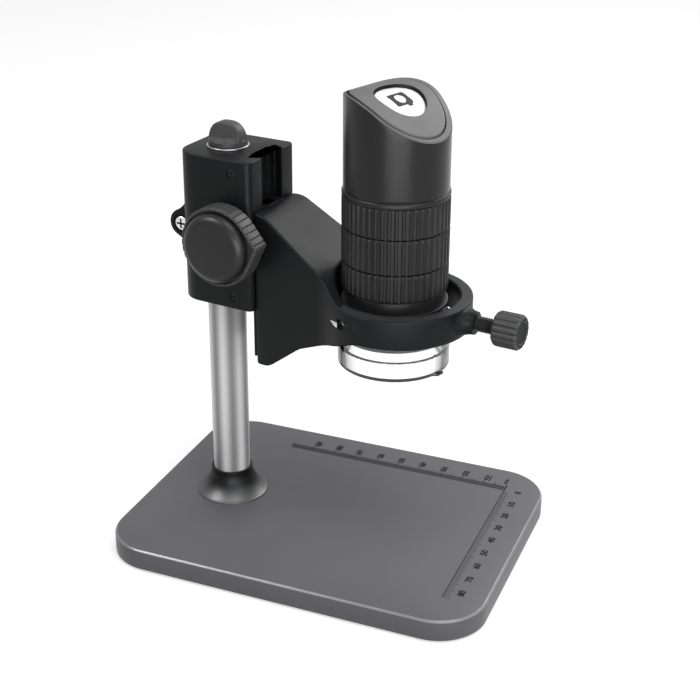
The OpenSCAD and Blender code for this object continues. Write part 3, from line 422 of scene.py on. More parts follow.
def node_box(name: str) -> tuple[Points, Points]:
    """Gives a CAD node's lowest and highest corners in millimetres.

    Args:
        name: The node's name.

    Returns:
        The two corners.
    """
    low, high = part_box(name)
    return np.array(low) / MM, np.array(high) / MM


def joint(name: str) -> dict:
    """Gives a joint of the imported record.

    Args:
        name: The joint's name.

    Returns:
        The joint's own entry.
    """
    return next(j for j in frame["joints"] if j["name"] == name)


def upright(origin: Points, direction: Points) -> Place:
    """Makes an upright frame whose X axis is level along a direction.

    Args:
        origin: The origin, in millimetres.
        direction: A vector whose level part gives the X axis.

    Returns:
        The frame, with Z up.
    """
    x_axis = np.array([direction[0], direction[1], 0.0])
    x_axis /= np.linalg.norm(x_axis)
    y_axis = np.array([-x_axis[1], x_axis[0], 0.0])
    return Place(np.array(origin, float), np.array([x_axis, y_axis, [0, 0, 1]]))


def joint_point(name: str) -> Points:
    """Gives a hinge's point in millimetres."""
    return np.array(joint(name)["pos_m"]) / MM


def round_size(name: str) -> tuple[float, float, float]:
    """Gives an upright round CAD node's radius and its lowest and highest level in millimetres."""
    low, high = node_box(name)
    return (high[0] - low[0]) / 2, low[2], high[2]


def levels(name: str) -> tuple[float, float]:
    """Gives a CAD node's lowest and highest level in millimetres."""
    return tuple(corner[2] for corner in node_box(name))


WORLD = Place(np.zeros(3), np.eye(3))
ARM_WAY = np.array(joint("pad_slide")["axis"])
COLUMN_POINT = joint_point("head_swivel") * (1, 1, 0)
SCOPE_POINT = joint_point("scope_turn") * (1, 1, 0)
HEAD_PLACE = upright(COLUMN_POINT, ARM_WAY)
SIDE_PLACE = HEAD_PLACE.turned([1, 0, 0], [0, 0, 1], [0, -1, 0])
SCOPE_PLACE = upright(SCOPE_POINT, -np.array(joint("button_press")["axis"]))
COLUMN_PLACE = Place(COLUMN_POINT, np.eye(3))
KNOB_PLACE = Place(joint_point("focus_turn"), np.eye(3)[[0, 2, 1]] * [[1], [1], [-1]] @ HEAD_PLACE.axes)
THUMB_PLACE = Place(joint_point("thumb_turn") * (0, 0, 1) + SCOPE_POINT,
                    np.array([[0, 1, 0], [0, 0, 1], [1, 0, 0]]) @ HEAD_PLACE.axes)


# Surfaces


def unit(angle: Points) -> Points:
    """Gives the unit vectors in plan at a row of angles."""
    return np.stack([np.cos(angle), np.sin(angle)], axis=1)


def full_turn(around: int) -> Points:
    """Gives evenly spaced angles of one turn."""
    return np.arange(around) * TAU / around


def level(points: Points, z: float) -> Points:
    """Lays plan points at one height."""
    return np.c_[points, np.full(len(points), z)]


def rectangle(x0: float, y0: float, x1: float, y1: float) -> Points:
    """Gives a rectangle's corners in plan, counter-clockwise."""
    return np.array([[x0, y0], [x1, y0], [x1, y1], [x0, y1]], float)


def mirrored(half: Points, radii: list[float]) -> tuple[Points, list[float]]:
    """Closes half an outline by its mirror image about the X axis, and gives the radii to match."""
    other = half[::-1] * (1, -1)
    return np.concatenate([other[-1:], half, other[:-1]]), radii[:1] + radii + radii[:0:-1]


def rounded_polyline(corners: Points, radii: list[float], closed: bool, steps: int = 8) -> Points:
    """Rounds the corners of a polyline with arcs that touch both of its legs.

    Args:
        corners: The corner points, one row each.
        radii: One radius for each corner; zero keeps the corner sharp.
        closed: Whether the last corner joins the first.
        steps: Pieces of each arc.

    Returns:
        The points in order, each arc swept about its own centre.
    """
    count = len(corners)
    out = []
    for i, (corner, radius) in enumerate(zip(corners, radii)):
        if radius <= 0 or (not closed and i in (0, count - 1)):
            out.append(corner[None])
            continue
        u = corners[(i - 1) % count] - corner
        w = corners[(i + 1) % count] - corner
        u, w = u / np.linalg.norm(u), w / np.linalg.norm(w)
        half = math.acos(np.clip(u @ w, -1, 1)) / 2
        middle = (u + w) / np.linalg.norm(u + w)
        centre = corner + middle * radius / math.sin(half)
        start = corner + u * radius / math.tan(half) - centre
        end = corner + w * radius / math.tan(half) - centre
        first = math.atan2(start[1], start[0])
        sweep = (math.atan2(end[1], end[0]) - first + math.pi) % TAU - math.pi
        angles = first + sweep * np.linspace(0, 1, steps + 1)
        out.append(centre + radius * unit(angles))
    return np.concatenate(out)


def refined(outline: Points, longest: float) -> Points:
    """Divides the long legs of a closed outline.

    Args:
        outline: The outline's points.
        longest: The longest leg that stays whole.

    Returns:
        The outline with evenly spaced points added along its long legs.
    """
    legs = np.roll(outline, -1, axis=0) - outline
    counts = np.maximum(1, np.ceil(np.linalg.norm(legs, axis=1) / longest)).astype(int)
    start = np.repeat(outline, counts, axis=0)
    leg = np.repeat(legs, counts, axis=0)
    first = np.repeat(np.cumsum(counts) - counts, counts)
    share = (np.arange(counts.sum()) - first) / np.repeat(counts, counts)
    return start + leg * share[:, None]


def inset(outline: Points, distance: Points | float) -> Points:
    """Moves a closed outline inwards with mitred corners.

    Args:
        outline: The outline's points, counter-clockwise.
        distance: How far each point's two legs move in.

    Returns:
        The moved points: each goes along the sum of its legs' normals, over one plus their cosine.
    """
    legs = np.roll(outline, -1, axis=0) - outline
    legs /= np.linalg.norm(legs, axis=1, keepdims=True)
    after = np.stack([-legs[:, 1], legs[:, 0]], axis=1)
    before = np.roll(after, 1, axis=0)
    cosine = np.sum(after * before, axis=1, keepdims=True)
    return outline + (after + before) / (1 + cosine) * np.reshape(distance, (-1, 1))


def fillet_rows(radius: float, steps: int) -> Points:
    """Gives a quarter round as insets and drops.

    Args:
        radius: The fillet's radius.
        steps: Pieces of the quarter.

    Returns:
        Rows of (inset, drop) from the wall, (0, radius), to the face, (radius, 0).
    """
    angle = np.linspace(0, math.pi / 2, steps + 1)
    return np.stack([radius * (1 - np.cos(angle)), radius * (1 - np.sin(angle))], axis=1)


def offset_loops(outline: Points, rows: list[tuple[float, float]]) -> Points:
    """Stacks insets of a closed outline, each row given as (inset, height)."""
    return np.array([level(inset(outline, i), z) for i, z in rows])


def slab(outline: Points, z0: float, z1: float) -> Points:
    """Raises a closed outline between two heights with sharp edges."""
    return np.array([level(outline, z0), level(outline, z1)])


def prism_grid(outline: Points, z0: float, z1: float, fillet: float, steps: int = 4) -> Points:
    """Raises a closed outline between two heights with rounded edges.

    Args:
        outline: The outline, counter-clockwise.
        z0: The lower face.
        z1: The upper face.
        fillet: Radius of both edges.
        steps: Pieces of each rounding.

    Returns:
        A grid of rows round the outline, from the lower face's edge to the upper one's.
    """
    top = fillet_rows(fillet, steps)
    rows = [(i, z0 + drop) for i, drop in top[::-1]] + [(i, z1 - drop) for i, drop in top]
    return offset_loops(outline, rows)


def polar_grid(radius: Points, angle: Points, z: Points) -> Points:
    """Makes a grid of closed rows about the Z axis.

    Args:
        radius: A radius for each point of each row.
        angle: The angles of a row's points.
        z: A height for each row.

    Returns:
        The grid: radius times cosine and sine, and the height.
    """
    return np.stack([radius * np.cos(angle), radius * np.sin(angle),
                     np.broadcast_to(z[:, None], radius.shape)], axis=-1)


def lathe_grid(profile: Points, around: int = 96) -> Points:
    """Turns a profile about the Z axis.

    Args:
        profile: Rows of (radius, height).
        around: Points in a full turn.

    Returns:
        A grid with a row for each profile point: radius times cosine and sine, and the height.
    """
    radius = np.repeat(profile[:, :1], around, axis=1)
    return polar_grid(radius, full_turn(around), profile[:, 1])


def soft_profile(corners: list[tuple[float, float]], radius: float | list[float], closed: bool = True,
                 steps: int = 5) -> Points:
    """Gives a lathe profile with all of its corners rounded.

    Args:
        corners: Corners as (radius, height).
        radius: One rounding for all corners, or one for each.
        closed: Whether the profile is a loop, as a tube's is.
        steps: Pieces of each rounding.

    Returns:
        The profile's points.
    """
    radii = radius if isinstance(radius, list) else [radius] * len(corners)
    return rounded_polyline(np.array(corners, float), radii, closed, steps)


def linked(name: str, data: bpy.types.ID) -> Object:
    """Makes an object and links it to the scene.

    Args:
        name: The object's name.
        data: Its mesh, text, lamp or camera.

    Returns:
        The object.
    """
    made = bpy.data.objects.new(name, data)
    bpy.context.scene.collection.objects.link(made)
    return made


def shade_smooth(mesh: Mesh, sharp_deg: float) -> None:
    """Shades a mesh smooth, except at edges that turn by more than an angle."""
    mesh.polygons.foreach_set("use_smooth", np.ones(len(mesh.polygons), bool))
    mesh.set_sharp_from_angle(angle=math.radians(sharp_deg))


def finish_mesh(mesh: Mesh, sharp_deg: float) -> None:
    """Merges doubled points, turns the faces outwards and shades the mesh smooth up to an angle.

    Args:
        mesh: The mesh to finish.
        sharp_deg: Edges that turn by more than this stay sharp.
    """
    work = bmesh.new()
    work.from_mesh(mesh)
    bmesh.ops.remove_doubles(work, verts=work.verts, dist=MERGE_M)
    bmesh.ops.recalc_face_normals(work, faces=work.faces)
    work.to_mesh(mesh)
    work.free()
    shade_smooth(mesh, sharp_deg)
    mesh.update()


def mesh_object(name: str, vertices: Points, faces: list, sharp_deg: float) -> Object:
    """Makes an object at the scene's origin from vertices in metres.

    Args:
        name: The object's name.
        vertices: One row for each vertex.
        faces: Vertex numbers of each face.
        sharp_deg: Edges that turn by more than this stay sharp.

    Returns:
        The linked object.
    """
    mesh = bpy.data.meshes.new(name)
    mesh.from_pydata(vertices.tolist(), [], faces)
    finish_mesh(mesh, sharp_deg)
    return linked(name, mesh)


def joined_object(name: str, meshes: list[Mesh]) -> Object:
    """Joins meshes into one object and removes them with whatever objects they had.

    Args:
        name: The new object's name.
        meshes: The meshes, in the scene's metres.

    Returns:
        The linked object.
    """
    work = bmesh.new()
    for mesh in meshes:
        work.from_mesh(mesh)
        bpy.data.meshes.remove(mesh)
    joined = bpy.data.meshes.new(name)
    work.to_mesh(joined)
    work.free()
    return linked(name, joined)


def grid_faces(rows: int, columns: int, ends: Ends, first: int = 0) -> list:
    """Joins a grid's neighbours into four-sided faces, with every row a closed ring.

    Args:
        rows: Count of rows.
        columns: Count of points in each row.
        ends: Whether the end rows get a cap or join each other.
        first: Number of the grid's first vertex.

    Returns:
        The faces, as lists of vertex numbers.
    """
    spans = rows if ends is Ends.LOOPED else rows - 1
    i, j = np.meshgrid(np.arange(spans), np.arange(columns), indexing="ij")
    up, on = (i + 1) % rows, (j + 1) % columns
    quads = np.stack([i * columns + j, i * columns + on, up * columns + on, up * columns + j], axis=-1)
    faces = (quads.reshape(-1, 4) + first).tolist()
    if ends is Ends.CAPPED:
        faces.append(list(range(first + columns - 1, first - 1, -1)))
        faces.append(list(range(first + (rows - 1) * columns, first + rows * columns)))
    return faces


def grid_object(name: str, grids: Points | list[Points], place: Place, ends: Ends = Ends.CAPPED,
                sharp_deg: float = SHARP_DEG) -> Object:
    """Makes one object from one or several grids of closed rows.

    Args:
        name: The object's name.
        grids: One grid, or several separate ones, in local millimetres.
        place: The grids' frame.
        ends: How the first and last rows are closed.
        sharp_deg: Edges that turn by more than this stay sharp.

    Returns:
        The linked object.
    """
    several = grids if isinstance(grids, list) else [grids]
    vertices, faces, first = [], [], 0
    for grid in several:
        faces += grid_faces(grid.shape[0], grid.shape[1], ends, first)
        vertices.append(place.world(grid.reshape(-1, 3)))
        first += grid.shape[0] * grid.shape[1]
    return mesh_object(name, np.concatenate(vertices), faces, sharp_deg)


def values_of(items: bpy.types.bpy_prop_collection, name: str, width: int = 1,
              kind: type = float) -> Points:
    """Reads a property of every vertex, corner or face of a mesh.

    Args:
        items: The mesh's vertices, corners or faces.
        name: The property.
        width: How many numbers it has.
        kind: Type of the numbers.

    Returns:
        One number, or one row of numbers, for each of them.
    """
    values = np.zeros(len(items) * width, kind)
    items.foreach_get(name, values)
    return values.reshape(-1, width) if width > 1 else values


def mesh_points(mesh: Mesh) -> Points:
    """Gives a mesh's vertices, one row each, in its own metres."""
    return values_of(mesh.vertices, "co", 3)


def face_values(mesh: Mesh, place: Place) -> tuple[Points, Points]:
    """Gives the faces' centres and normals in a local frame.

    Args:
        mesh: The mesh.
        place: The frame.

    Returns:
        The centres, in millimetres, and the normals.
    """
    centres, normals = (values_of(mesh.polygons, name, 3) for name in ("center", "normal"))
    return place.local(centres), normals @ place.axes.T


def second_finish(made: Object, finish: Finish, chosen: Points) -> None:
    """Gives the chosen faces of a dressed piece a finish of their own.

    Args:
        made: The piece.
        finish: The finish of the chosen faces.
        chosen: Whether each face is chosen.
    """
    made.data.materials.append(finish.material())
    index = values_of(made.data.polygons, "material_index", kind=int)
    index[chosen] = len(made.data.materials) - 1
    made.data.polygons.foreach_set("material_index", index)


def apply_modifiers(made: Object, sharp_deg: float) -> None:
    """Bakes an object's modifiers into its mesh.

    Args:
        made: The object.
        sharp_deg: Edges that turn by more than this stay sharp.
    """
    depsgraph = bpy.context.evaluated_depsgraph_get()
    baked = bpy.data.meshes.new_from_object(made.evaluated_get(depsgraph))
    made.modifiers.clear()
    made.data = baked
    shade_smooth(baked, sharp_deg)


def carve(made: Object, cutters: list[Object], sharp_deg: float = SHARP_DEG) -> None:
    """Cuts pieces out of an object and removes the cutters.

    Args:
        made: The object that is cut.
        cutters: Closed objects that take material away.
        sharp_deg: Edges that turn by more than this stay sharp.
    """
    for cutter in cutters:
        modifier = made.modifiers.new("cut", "BOOLEAN")
        modifier.operation = "DIFFERENCE"
        modifier.solver = "EXACT"
        modifier.object = cutter
    apply_modifiers(made, sharp_deg)
    for cutter in cutters:
        bpy.data.meshes.remove(cutter.data)


def rod_cutter(place: Place, radius: float, z0: float, z1: float) -> Object:
    """Makes a round cutter along a frame's Z axis."""
    return grid_object("cutter", lathe_grid(np.array([[radius, z0], [radius, z1]]), 48), place)


def box_cutter(place: Place, low: tuple, high: tuple) -> Object:
    """Makes a box cutter between two local corners."""
    return grid_object("cutter", slab(rectangle(*low[:2], *high[:2]), low[2], high[2]), place)


class Dresser:
    """Puts pieces on their bodies, with a finish, and keeps count of them."""

    def __init__(self) -> None:
        """Starts with no pieces."""
        self.count = 0

    def dress(self, made: Object, body: Body, finish: Finish, *nodes: str) -> Object:
        """Gives a piece its finish, its body and the CAD nodes that it stands for.

        Args:
            made: The piece.
            body: The body that it moves with.
            finish: Its finish.
            nodes: CAD nodes that it replaces.

        Returns:
            The same piece.
        """
        made.data.materials.clear()
        made.data.materials.append(finish.material())
        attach(made, body.value)
        if nodes:
            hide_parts(*nodes)
        self.count += 1
        LOG.info("%s on %s: %d faces", made.name, body.value, len(made.data.polygons))
        return made

    def coat_node(self, node: str, finish: Finish) -> None:
        """Gives a CAD node that stays as it is a finish.

        Args:
            node: The CAD node.
            finish: Its finish.
        """
        made = frame["nodes"][node]
        made.data.materials.clear()
        made.data.materials.append(finish.material())

    def soften_node(self, node: str, body: Body, finish: Finish, bevel: float) -> Object:
        """Replaces a CAD node by its own shape with eased edges and smooth round faces.

        Args:
            node: The CAD node.
            body: The body that it moves with.
            finish: Its finish.
            bevel: Width of the eased edges, in millimetres.

        Returns:
            The new piece.
        """
        mesh = frame["nodes"][node].data.copy()
        made = linked(node + "_eased", mesh)
        work = bmesh.new()
        work.from_mesh(mesh)
        bmesh.ops.remove_doubles(work, verts=work.verts, dist=NODE_MERGE_M)
        bmesh.ops.dissolve_limit(work, angle_limit=math.radians(FLAT_DEG), verts=work.verts,
                                 edges=work.edges)
        work.to_mesh(mesh)
        work.free()
        if bevel > 0:
            modifier = made.modifiers.new("ease", "BEVEL")
            modifier.width = bevel * MM
            modifier.segments = 2
            modifier.limit_method = "ANGLE"
            modifier.angle_limit = math.radians(EASED_DEG)
        apply_modifiers(made, SHARP_DEG)
        return self.dress(made, body, finish, node)


# Sub-assemblies


@dataclass
class Base:
    """The ruled plate, its mat and the column with its foot."""

    corner_r: float = 20.0
    bevel: float = 0.7
    foot_ease: float = 0.5
    collar_neck_r: float = 8.7
    collar_bore_r: float = 7.85
    collar_edge: float = 0.3
    collar_power: float = 2.1
    tube_wall: float = 1.6
    zero_x: float = 62.3
    zero_y: float = 42.2
    long_mm: int = 100
    short_mm: int = 85
    line_w: float = 0.35
    tick_w: float = 0.6
    tick_l: float = 3.2
    long_tick_l: float = 4.2
    faint_w: float = 0.17
    faint_l: float = 2.4
    long_faint_l: float = 3.4
    ink_t: float = 0.03
    back_digit: tuple[float, float, float] = (4.6, 1.55, 7.2)
    side_digit: tuple[float, float, float] = (2.9, 2.1, 6.1)

    def outline(self, low: Points, high: Points) -> Points:
        """Gives the plate's outline with round corners."""
        corners = rectangle(low[0], low[1], high[0], high[1])
        return refined(rounded_polyline(corners, [self.corner_r] * 4, True, 24), 12)

    def plate(self) -> Object:
        """Makes the plate: its outline raised, with a flat bevel eased at both of its edges.

        Returns:
            The plate.
        """
        low, high = node_box("base_plate")
        outline = self.outline(low, high)
        ease = fillet_rows(self.foot_ease, 3)[::-1]
        half = self.bevel * np.array([[0.0, 1.2], [0.05, 1.02], [0.17, 0.85]])
        soft = np.concatenate([half, half[::-1, ::-1]])
        rows = [(i, low[2] + drop) for i, drop in ease] + [(i, high[2] - drop) for i, drop in soft]
        return grid_object("plate", offset_loops(outline, rows), WORLD, sharp_deg=25)

    def bare_bevel(self, made: Object) -> None:
        """Gives the plate's bevel a smoother, glossier finish whose lighter colour is a painted highlight
        line.

        Args:
            made: The plate, dressed.
        """
        centres, normals = face_values(made.data, WORLD)
        high = centres[:, 2] > levels("base_plate")[1] - self.bevel * 1.1
        second_finish(made, PLATE_EDGE_HIGHLIGHT, high & (normals[:, 2] > 0.2) & (normals[:, 2] < 0.98))

    def collar(self) -> Object:
        """Makes the trumpet foot: above its thin edge the flare falls off as a power of the height left.

        Returns:
            The foot collar.
        """
        base_r, z0, z1 = round_size("column_collar")
        height, edge_r, bore = z1 - z0, self.collar_edge, self.collar_bore_r
        a = np.linspace(0, math.pi / 2, 5)[:-1]
        edge = np.c_[base_r - edge_r * (1 - np.cos(a)), edge_r * (1 + np.sin(a))]
        s = np.linspace(0, 1, 28)
        spread = base_r - edge_r - self.collar_neck_r
        flare = np.c_[self.collar_neck_r + spread * (1 - s) ** self.collar_power,
                      edge_r * 2 + (height - edge_r * 3) * s]
        a = np.linspace(0, math.pi, 9)[1:]
        lip = np.c_[bore + (self.collar_neck_r - bore) * 0.5 * (1 + np.cos(a)),
                    height - edge_r * (1 - np.sin(a))]
        profile = np.concatenate([[[bore, 0.0], [base_r, 0.0]], edge, flare, lip])
        return grid_object("foot_collar", lathe_grid(profile, 128), COLUMN_PLACE.moved(0, 0, z0),
                           Ends.LOOPED)

    def column(self) -> Object:
        """Makes the drawn tube of the column with eased edges.

        Returns:
            The column.
        """
        r, z0, z1 = round_size("column_tube")
        bore = r - self.tube_wall
        profile = soft_profile([(bore, z0), (r, z0), (r, z1), (bore, z1)], 0.3)
        return grid_object("column", lathe_grid(profile, 128), COLUMN_PLACE, Ends.LOOPED)

    def ticks(self, top: float) -> list[Points]:
        """Makes every mark of both rulers as a thin flat bar.

        Args:
            top: Height of the plate's face.

        Returns:
            One small grid for each mark.
        """
        def bar(x: float, y: float, w: float, h: float) -> Points:
            """Makes a bar of width w along X and h along Y about a centre."""
            return slab(rectangle(-w, -h, w, h) / 2 + (x, y), top - self.ink_t, top + self.ink_t)

        x, y, long, short = self.zero_x, self.zero_y, self.long_mm, self.short_mm
        marks = [bar(x - long / 2, y, long + self.tick_w, self.tick_w / 3)]
        for k in range(long + 1):
            length = self.long_tick_l if k % 5 == 0 else self.tick_l
            marks.append(bar(x - k, y + length / 2, self.tick_w, length))
        marks.append(bar(x, y - short / 2, self.line_w * 0.8, short))
        for k in range(1, short + 1):
            length = self.long_faint_l if k % 5 == 0 else self.faint_l
            marks.append(bar(x + length / 2, y - k, length, self.faint_w))
        return marks

    def number(self, text: str, place: Matrix, height: float, width: float) -> Mesh:
        """Makes one number as a flat raised shape.

        Args:
            text: The number's digits.
            place: Where its middle lies on the plate, and how it is turned.
            height: Height of a digit, in millimetres.
            width: Advance of a digit, in millimetres.

        Returns:
            The number's mesh, scaled so that its digits have that height and advance.
        """
        curve = bpy.data.curves.new("digit", "FONT")
        curve.body, curve.size, curve.extrude = text, MM, self.ink_t * MM
        curve.resolution_u, curve.offset = 3, 0.04 * MM
        writer = linked("digit", curve)
        depsgraph = bpy.context.evaluated_depsgraph_get()
        mesh = bpy.data.meshes.new_from_object(writer.evaluated_get(depsgraph))
        bpy.data.objects.remove(writer)
        bpy.data.curves.remove(curve)
        points = mesh_points(mesh)
        low, high = points.min(axis=0), points.max(axis=0)
        points[:, :2] -= ((low + high) / 2)[:2]
        points[:, :2] *= np.array([width * len(text) * 0.92, height]) * MM / (high - low)[:2]
        mesh.vertices.foreach_set("co", points.ravel())
        mesh.transform(place)
        return mesh

    def numbers(self, top: float) -> Object:
        """Makes the rulers' numbers, whose sizes are a digit's height and advance and their distance.

        Args:
            top: Height of the plate's face.

        Returns:
            One object with all of the numbers.
        """
        tall, wide, off = self.back_digit
        rows = [(k, self.zero_x - max(k - 0.7, 0.9), self.zero_y + off, math.pi, tall, wide)
                for k in range(0, self.long_mm, 10)]
        tall, wide, off = self.side_digit
        rows += [(k, self.zero_x + off, self.zero_y - k, math.pi / 2, tall, wide)
                 for k in range(0, self.short_mm, 10)]
        meshes = []
        for value, x, y, turn, height, width in rows:
            place = Matrix.Translation((x * MM, y * MM, top * MM)) @ Matrix.Rotation(turn, 4, "Z")
            meshes.append(self.number(str(value), place, height, width))
        return joined_object("ruler_numbers", meshes)

    def build(self, dresser: Dresser) -> None:
        """Builds and dresses the base.

        Args:
            dresser: What puts the pieces on their bodies.
        """
        top = levels("base_plate")[1]
        self.bare_bevel(dresser.dress(self.plate(), Body.BASE, PLATE_COAT, "base_plate"))
        dresser.dress(self.collar(), Body.BASE, FOOT_COAT, "column_collar")
        tube = replace(DRAWN_TUBE_PAINTED_BANDS, shift=tuple(-COLUMN_POINT * MM))
        dresser.dress(self.column(), Body.BASE, tube, "column_tube")
        dresser.dress(grid_object("ruler_marks", self.ticks(top), WORLD), Body.BASE, RULER_INK)
        dresser.dress(self.numbers(top), Body.BASE, RULER_INK)
        dresser.coat_node("base_mat", MAT_RUBBER)
        dresser.coat_node("column_bolt", MACHINED_STEEL)
        dresser.coat_node("column_foot_plug", BLACK_MOULDING)
        dresser.coat_node("column_top_plug", BLACK_MOULDING)


@dataclass
class Head:
    """The dovetail block with its clamp lug, screws and lock knob."""

    rear: float = 12.0
    nose: float = 22.8
    half_w: float = 16.8
    rear_r: float = 9.5
    nose_r: float = 2.6
    mouth: float = 14.4
    floor_w: float = 19.0
    groove_d: float = 4.8
    channel_w: float = 11.0
    channel_d: float = 1.0
    ease: float = 0.5
    lug_r: float = 5.7
    lug_blend_r: float = 10.0
    lug_reach: float = 15.2
    lug_up: float = 28.0
    lug_half: float = 8.5
    slit_w: float = 1.2
    screw_x: float = 14.6
    screw_inset: float = 5.0
    screw_r: float = 1.9
    screw_sunk: float = 1.8
    slit_stop: float = 6.5
    counter_r: float = 3.6
    counter_d: float = 1.2
    nut_d: float = 3.0
    shank_r: float = 2.2
    clamp_head_r: float = 2.9
    cross_l: float = 4.0
    cross_w: float = 0.8
    lock_x: float = 2.6
    washer_bore_r: float = 2.6
    wing_w: float = 14.8
    wing_t: float = 6.6
    wing_h: float = 9.2
    wing_square: float = 0.75
    wing_taper: float = 0.22
    wing_foot: float = 0.95
    wing_foot_h: float = 6.2

    def outline(self) -> Points:
        """Gives the block's plan with its round corners and its dovetail groove.

        Returns:
            The outline, counter-clockwise.
        """
        floor, side = self.nose - self.groove_d, -self.half_w
        channel = -self.channel_w / 2
        half = np.array([(-self.rear, side), (self.nose, side), (self.nose, -self.mouth / 2),
                         (floor, -self.floor_w / 2), (floor, channel), (floor - self.channel_d, channel)])
        radii = [self.rear_r, self.nose_r, 0.5, 0.3, 0.2, 0.2]
        return refined(rounded_polyline(*mirrored(half, radii), True, 8), 6)

    def block(self) -> Object:
        """Makes the block and cuts the slit and the recesses of the two small screws.

        Returns:
            The block.
        """
        foot, top = levels("focus_block")
        made = grid_object("block", prism_grid(self.outline(), foot, top, self.ease), HEAD_PLACE)
        cutters = [self.slit(foot, top - self.slit_stop)]
        for z in (foot + self.screw_inset, top - self.screw_inset):
            face = Place(HEAD_PLACE.moved(self.screw_x, -self.half_w, z).origin, KNOB_PLACE.axes)
            cutters.append(rod_cutter(face, self.screw_r, -self.screw_sunk, 1))
        carve(made, cutters)
        return made

    def slit(self, foot: float, top: float) -> Object:
        """Makes the cutter of the clamp's slit, from under the block's foot up to a height."""
        return box_cutter(HEAD_PLACE, (-30, -self.slit_w / 2, foot - 1), (0, self.slit_w / 2, top))

    def lug(self) -> Object:
        """Makes the clamp lug: a hollow from the block's wall to a round end, and a tangent below it.

        Returns:
            The lug.
        """
        foot = levels("focus_block")[0]
        z = foot + self.lug_up
        inner = -self.rear + self.lug_r
        centre, lower = np.array([-self.lug_reach, z]), np.array([inner, z - self.lug_r * 2.0])
        side = self.lug_reach - self.rear - self.lug_blend_r
        rise = math.sqrt((self.lug_r + self.lug_blend_r) ** 2 - side ** 2)
        hollow = np.array([-self.rear - self.lug_blend_r, z + rise])
        meet = math.atan2(rise, side)
        blend = hollow + self.lug_blend_r * unit(np.linspace(0, meet - math.pi, 12))
        d = lower - centre
        touch = (math.atan2(d[1], d[0]) - math.acos(self.lug_r / np.linalg.norm(d))) % TAU
        arc = centre + self.lug_r * unit(np.linspace(meet, touch, 24)[1:])
        outline = refined(np.concatenate([[lower, [inner, z + rise]], blend, arc]), 4)
        half = self.lug_half
        made = grid_object("clamp_lug", prism_grid(outline, -half, half, 0.6), SIDE_PLACE)
        hub = SIDE_PLACE.moved(-self.lug_reach, z, 0)
        carve(made, [rod_cutter(hub, self.counter_r, half - self.counter_d, half + 1),
                     rod_cutter(hub, self.shank_r, -half - 1, half + 1),
                     rod_cutter(hub, self.counter_r, -half - 1, -half + self.nut_d),
                     self.slit(foot, foot + 60)])
        return made

    def clamp_screw(self) -> tuple[Object, Place]:
        """Makes the clamp screw: a low round head with a cross cut in it, on its shank.

        Returns:
            The screw, and the frame of its axis.
        """
        up = levels("focus_block")[0] + self.lug_up
        hub = SIDE_PLACE.moved(-self.lug_reach, up, self.lug_half)
        r, seat, crown, end = self.clamp_head_r, -1.15, 0.45, -2 * self.lug_half + 0.2
        profile = soft_profile([(0.01, end), (2.0, end), (2.0, seat), (r, seat), (r, crown - 0.35),
                                (r * 0.8, crown), (0.01, crown + 0.1)],
                               [0, 0.3, 0.2, 0.1, 0.3, 1.0, 0], False)
        made = grid_object("clamp_screw_head", lathe_grid(profile), hub)
        long, wide = self.cross_l / 2, self.cross_w / 2
        carve(made, [box_cutter(hub, (-x, -y, crown - 1.0), (x, y, 2))
                     for x, y in ((long, wide), (wide, long))])
        return made, hub

    def blacken_cross(self, made: Object, hub: Place) -> None:
        """Gives the cross's walls and floor a black finish as painted shade.

        Args:
            made: The clamp screw, dressed.
            hub: The frame of its axis.
        """
        centres, normals = face_values(made.data, hub)
        reach = np.hypot(centres[:, 0], centres[:, 1])
        cut = (reach < self.cross_l / 2 + 0.05) & (centres[:, 2] < 0.4) & (centres[:, 2] > -0.7)
        second_finish(made, BLACKED_STEEL, cut & ((np.abs(normals[:, 2]) < 0.5) | (centres[:, 2] < -0.4)))

    def wing(self) -> Object:
        """Makes the lock knob's wing: a tall rounded outline, thick at its foot and thinner upwards.

        The half thickness falls in proportion to height, and a foot is added to it whose width
        goes with the square of the height left and fades towards the wing's two ends.

        Returns:
            The wing.
        """
        circle = unit(np.linspace(0, math.pi, 40))
        outline = np.sign(circle) * np.abs(circle) ** self.wing_square
        outline = refined(outline * (self.wing_w / 2, self.wing_h - 0.2), 1.5)
        rows = prism_grid(outline, -self.wing_t / 2, self.wing_t / 2, 0.9, 6)
        across, up = 2 * rows[..., 0] / self.wing_w, rows[..., 1]
        foot = np.clip(1 - up / self.wing_foot_h, 0, 1) ** 2 * (1 - across ** 2)
        rows[..., 2] *= 1 - self.wing_taper * up / self.wing_h + self.wing_foot * np.clip(foot, 0, 1)
        place = SIDE_PLACE.moved(self.lock_x, levels("lock_knob")[0], 0)
        return grid_object("lock_wing", rows, place)

    def skirt(self) -> Object:
        """Makes the lock knob's round skirt, domed towards the wing.

        Returns:
            The skirt.
        """
        profile = soft_profile([(0.01, 0.0), (7.8, 0.0), (7.6, 2.0), (6.0, 3.6), (0.01, 4.4)],
                               [0, 0.3, 0.9, 1.0, 0], False)
        place = HEAD_PLACE.moved(self.lock_x, 0, levels("lock_knob")[0])
        return grid_object("lock_skirt", lathe_grid(profile), place)

    def washer(self) -> Object:
        """Makes the bright washer under the lock knob.

        Returns:
            The washer.
        """
        r, z0, z1 = round_size("lock_washer")
        bore, thick = self.washer_bore_r, z1 - z0
        profile = soft_profile([(bore, 0), (r, 0), (r, thick), (bore, thick)], 0.25)
        return grid_object("lock_washer_ring", lathe_grid(profile), HEAD_PLACE.moved(self.lock_x, 0, z0),
                           Ends.LOOPED)

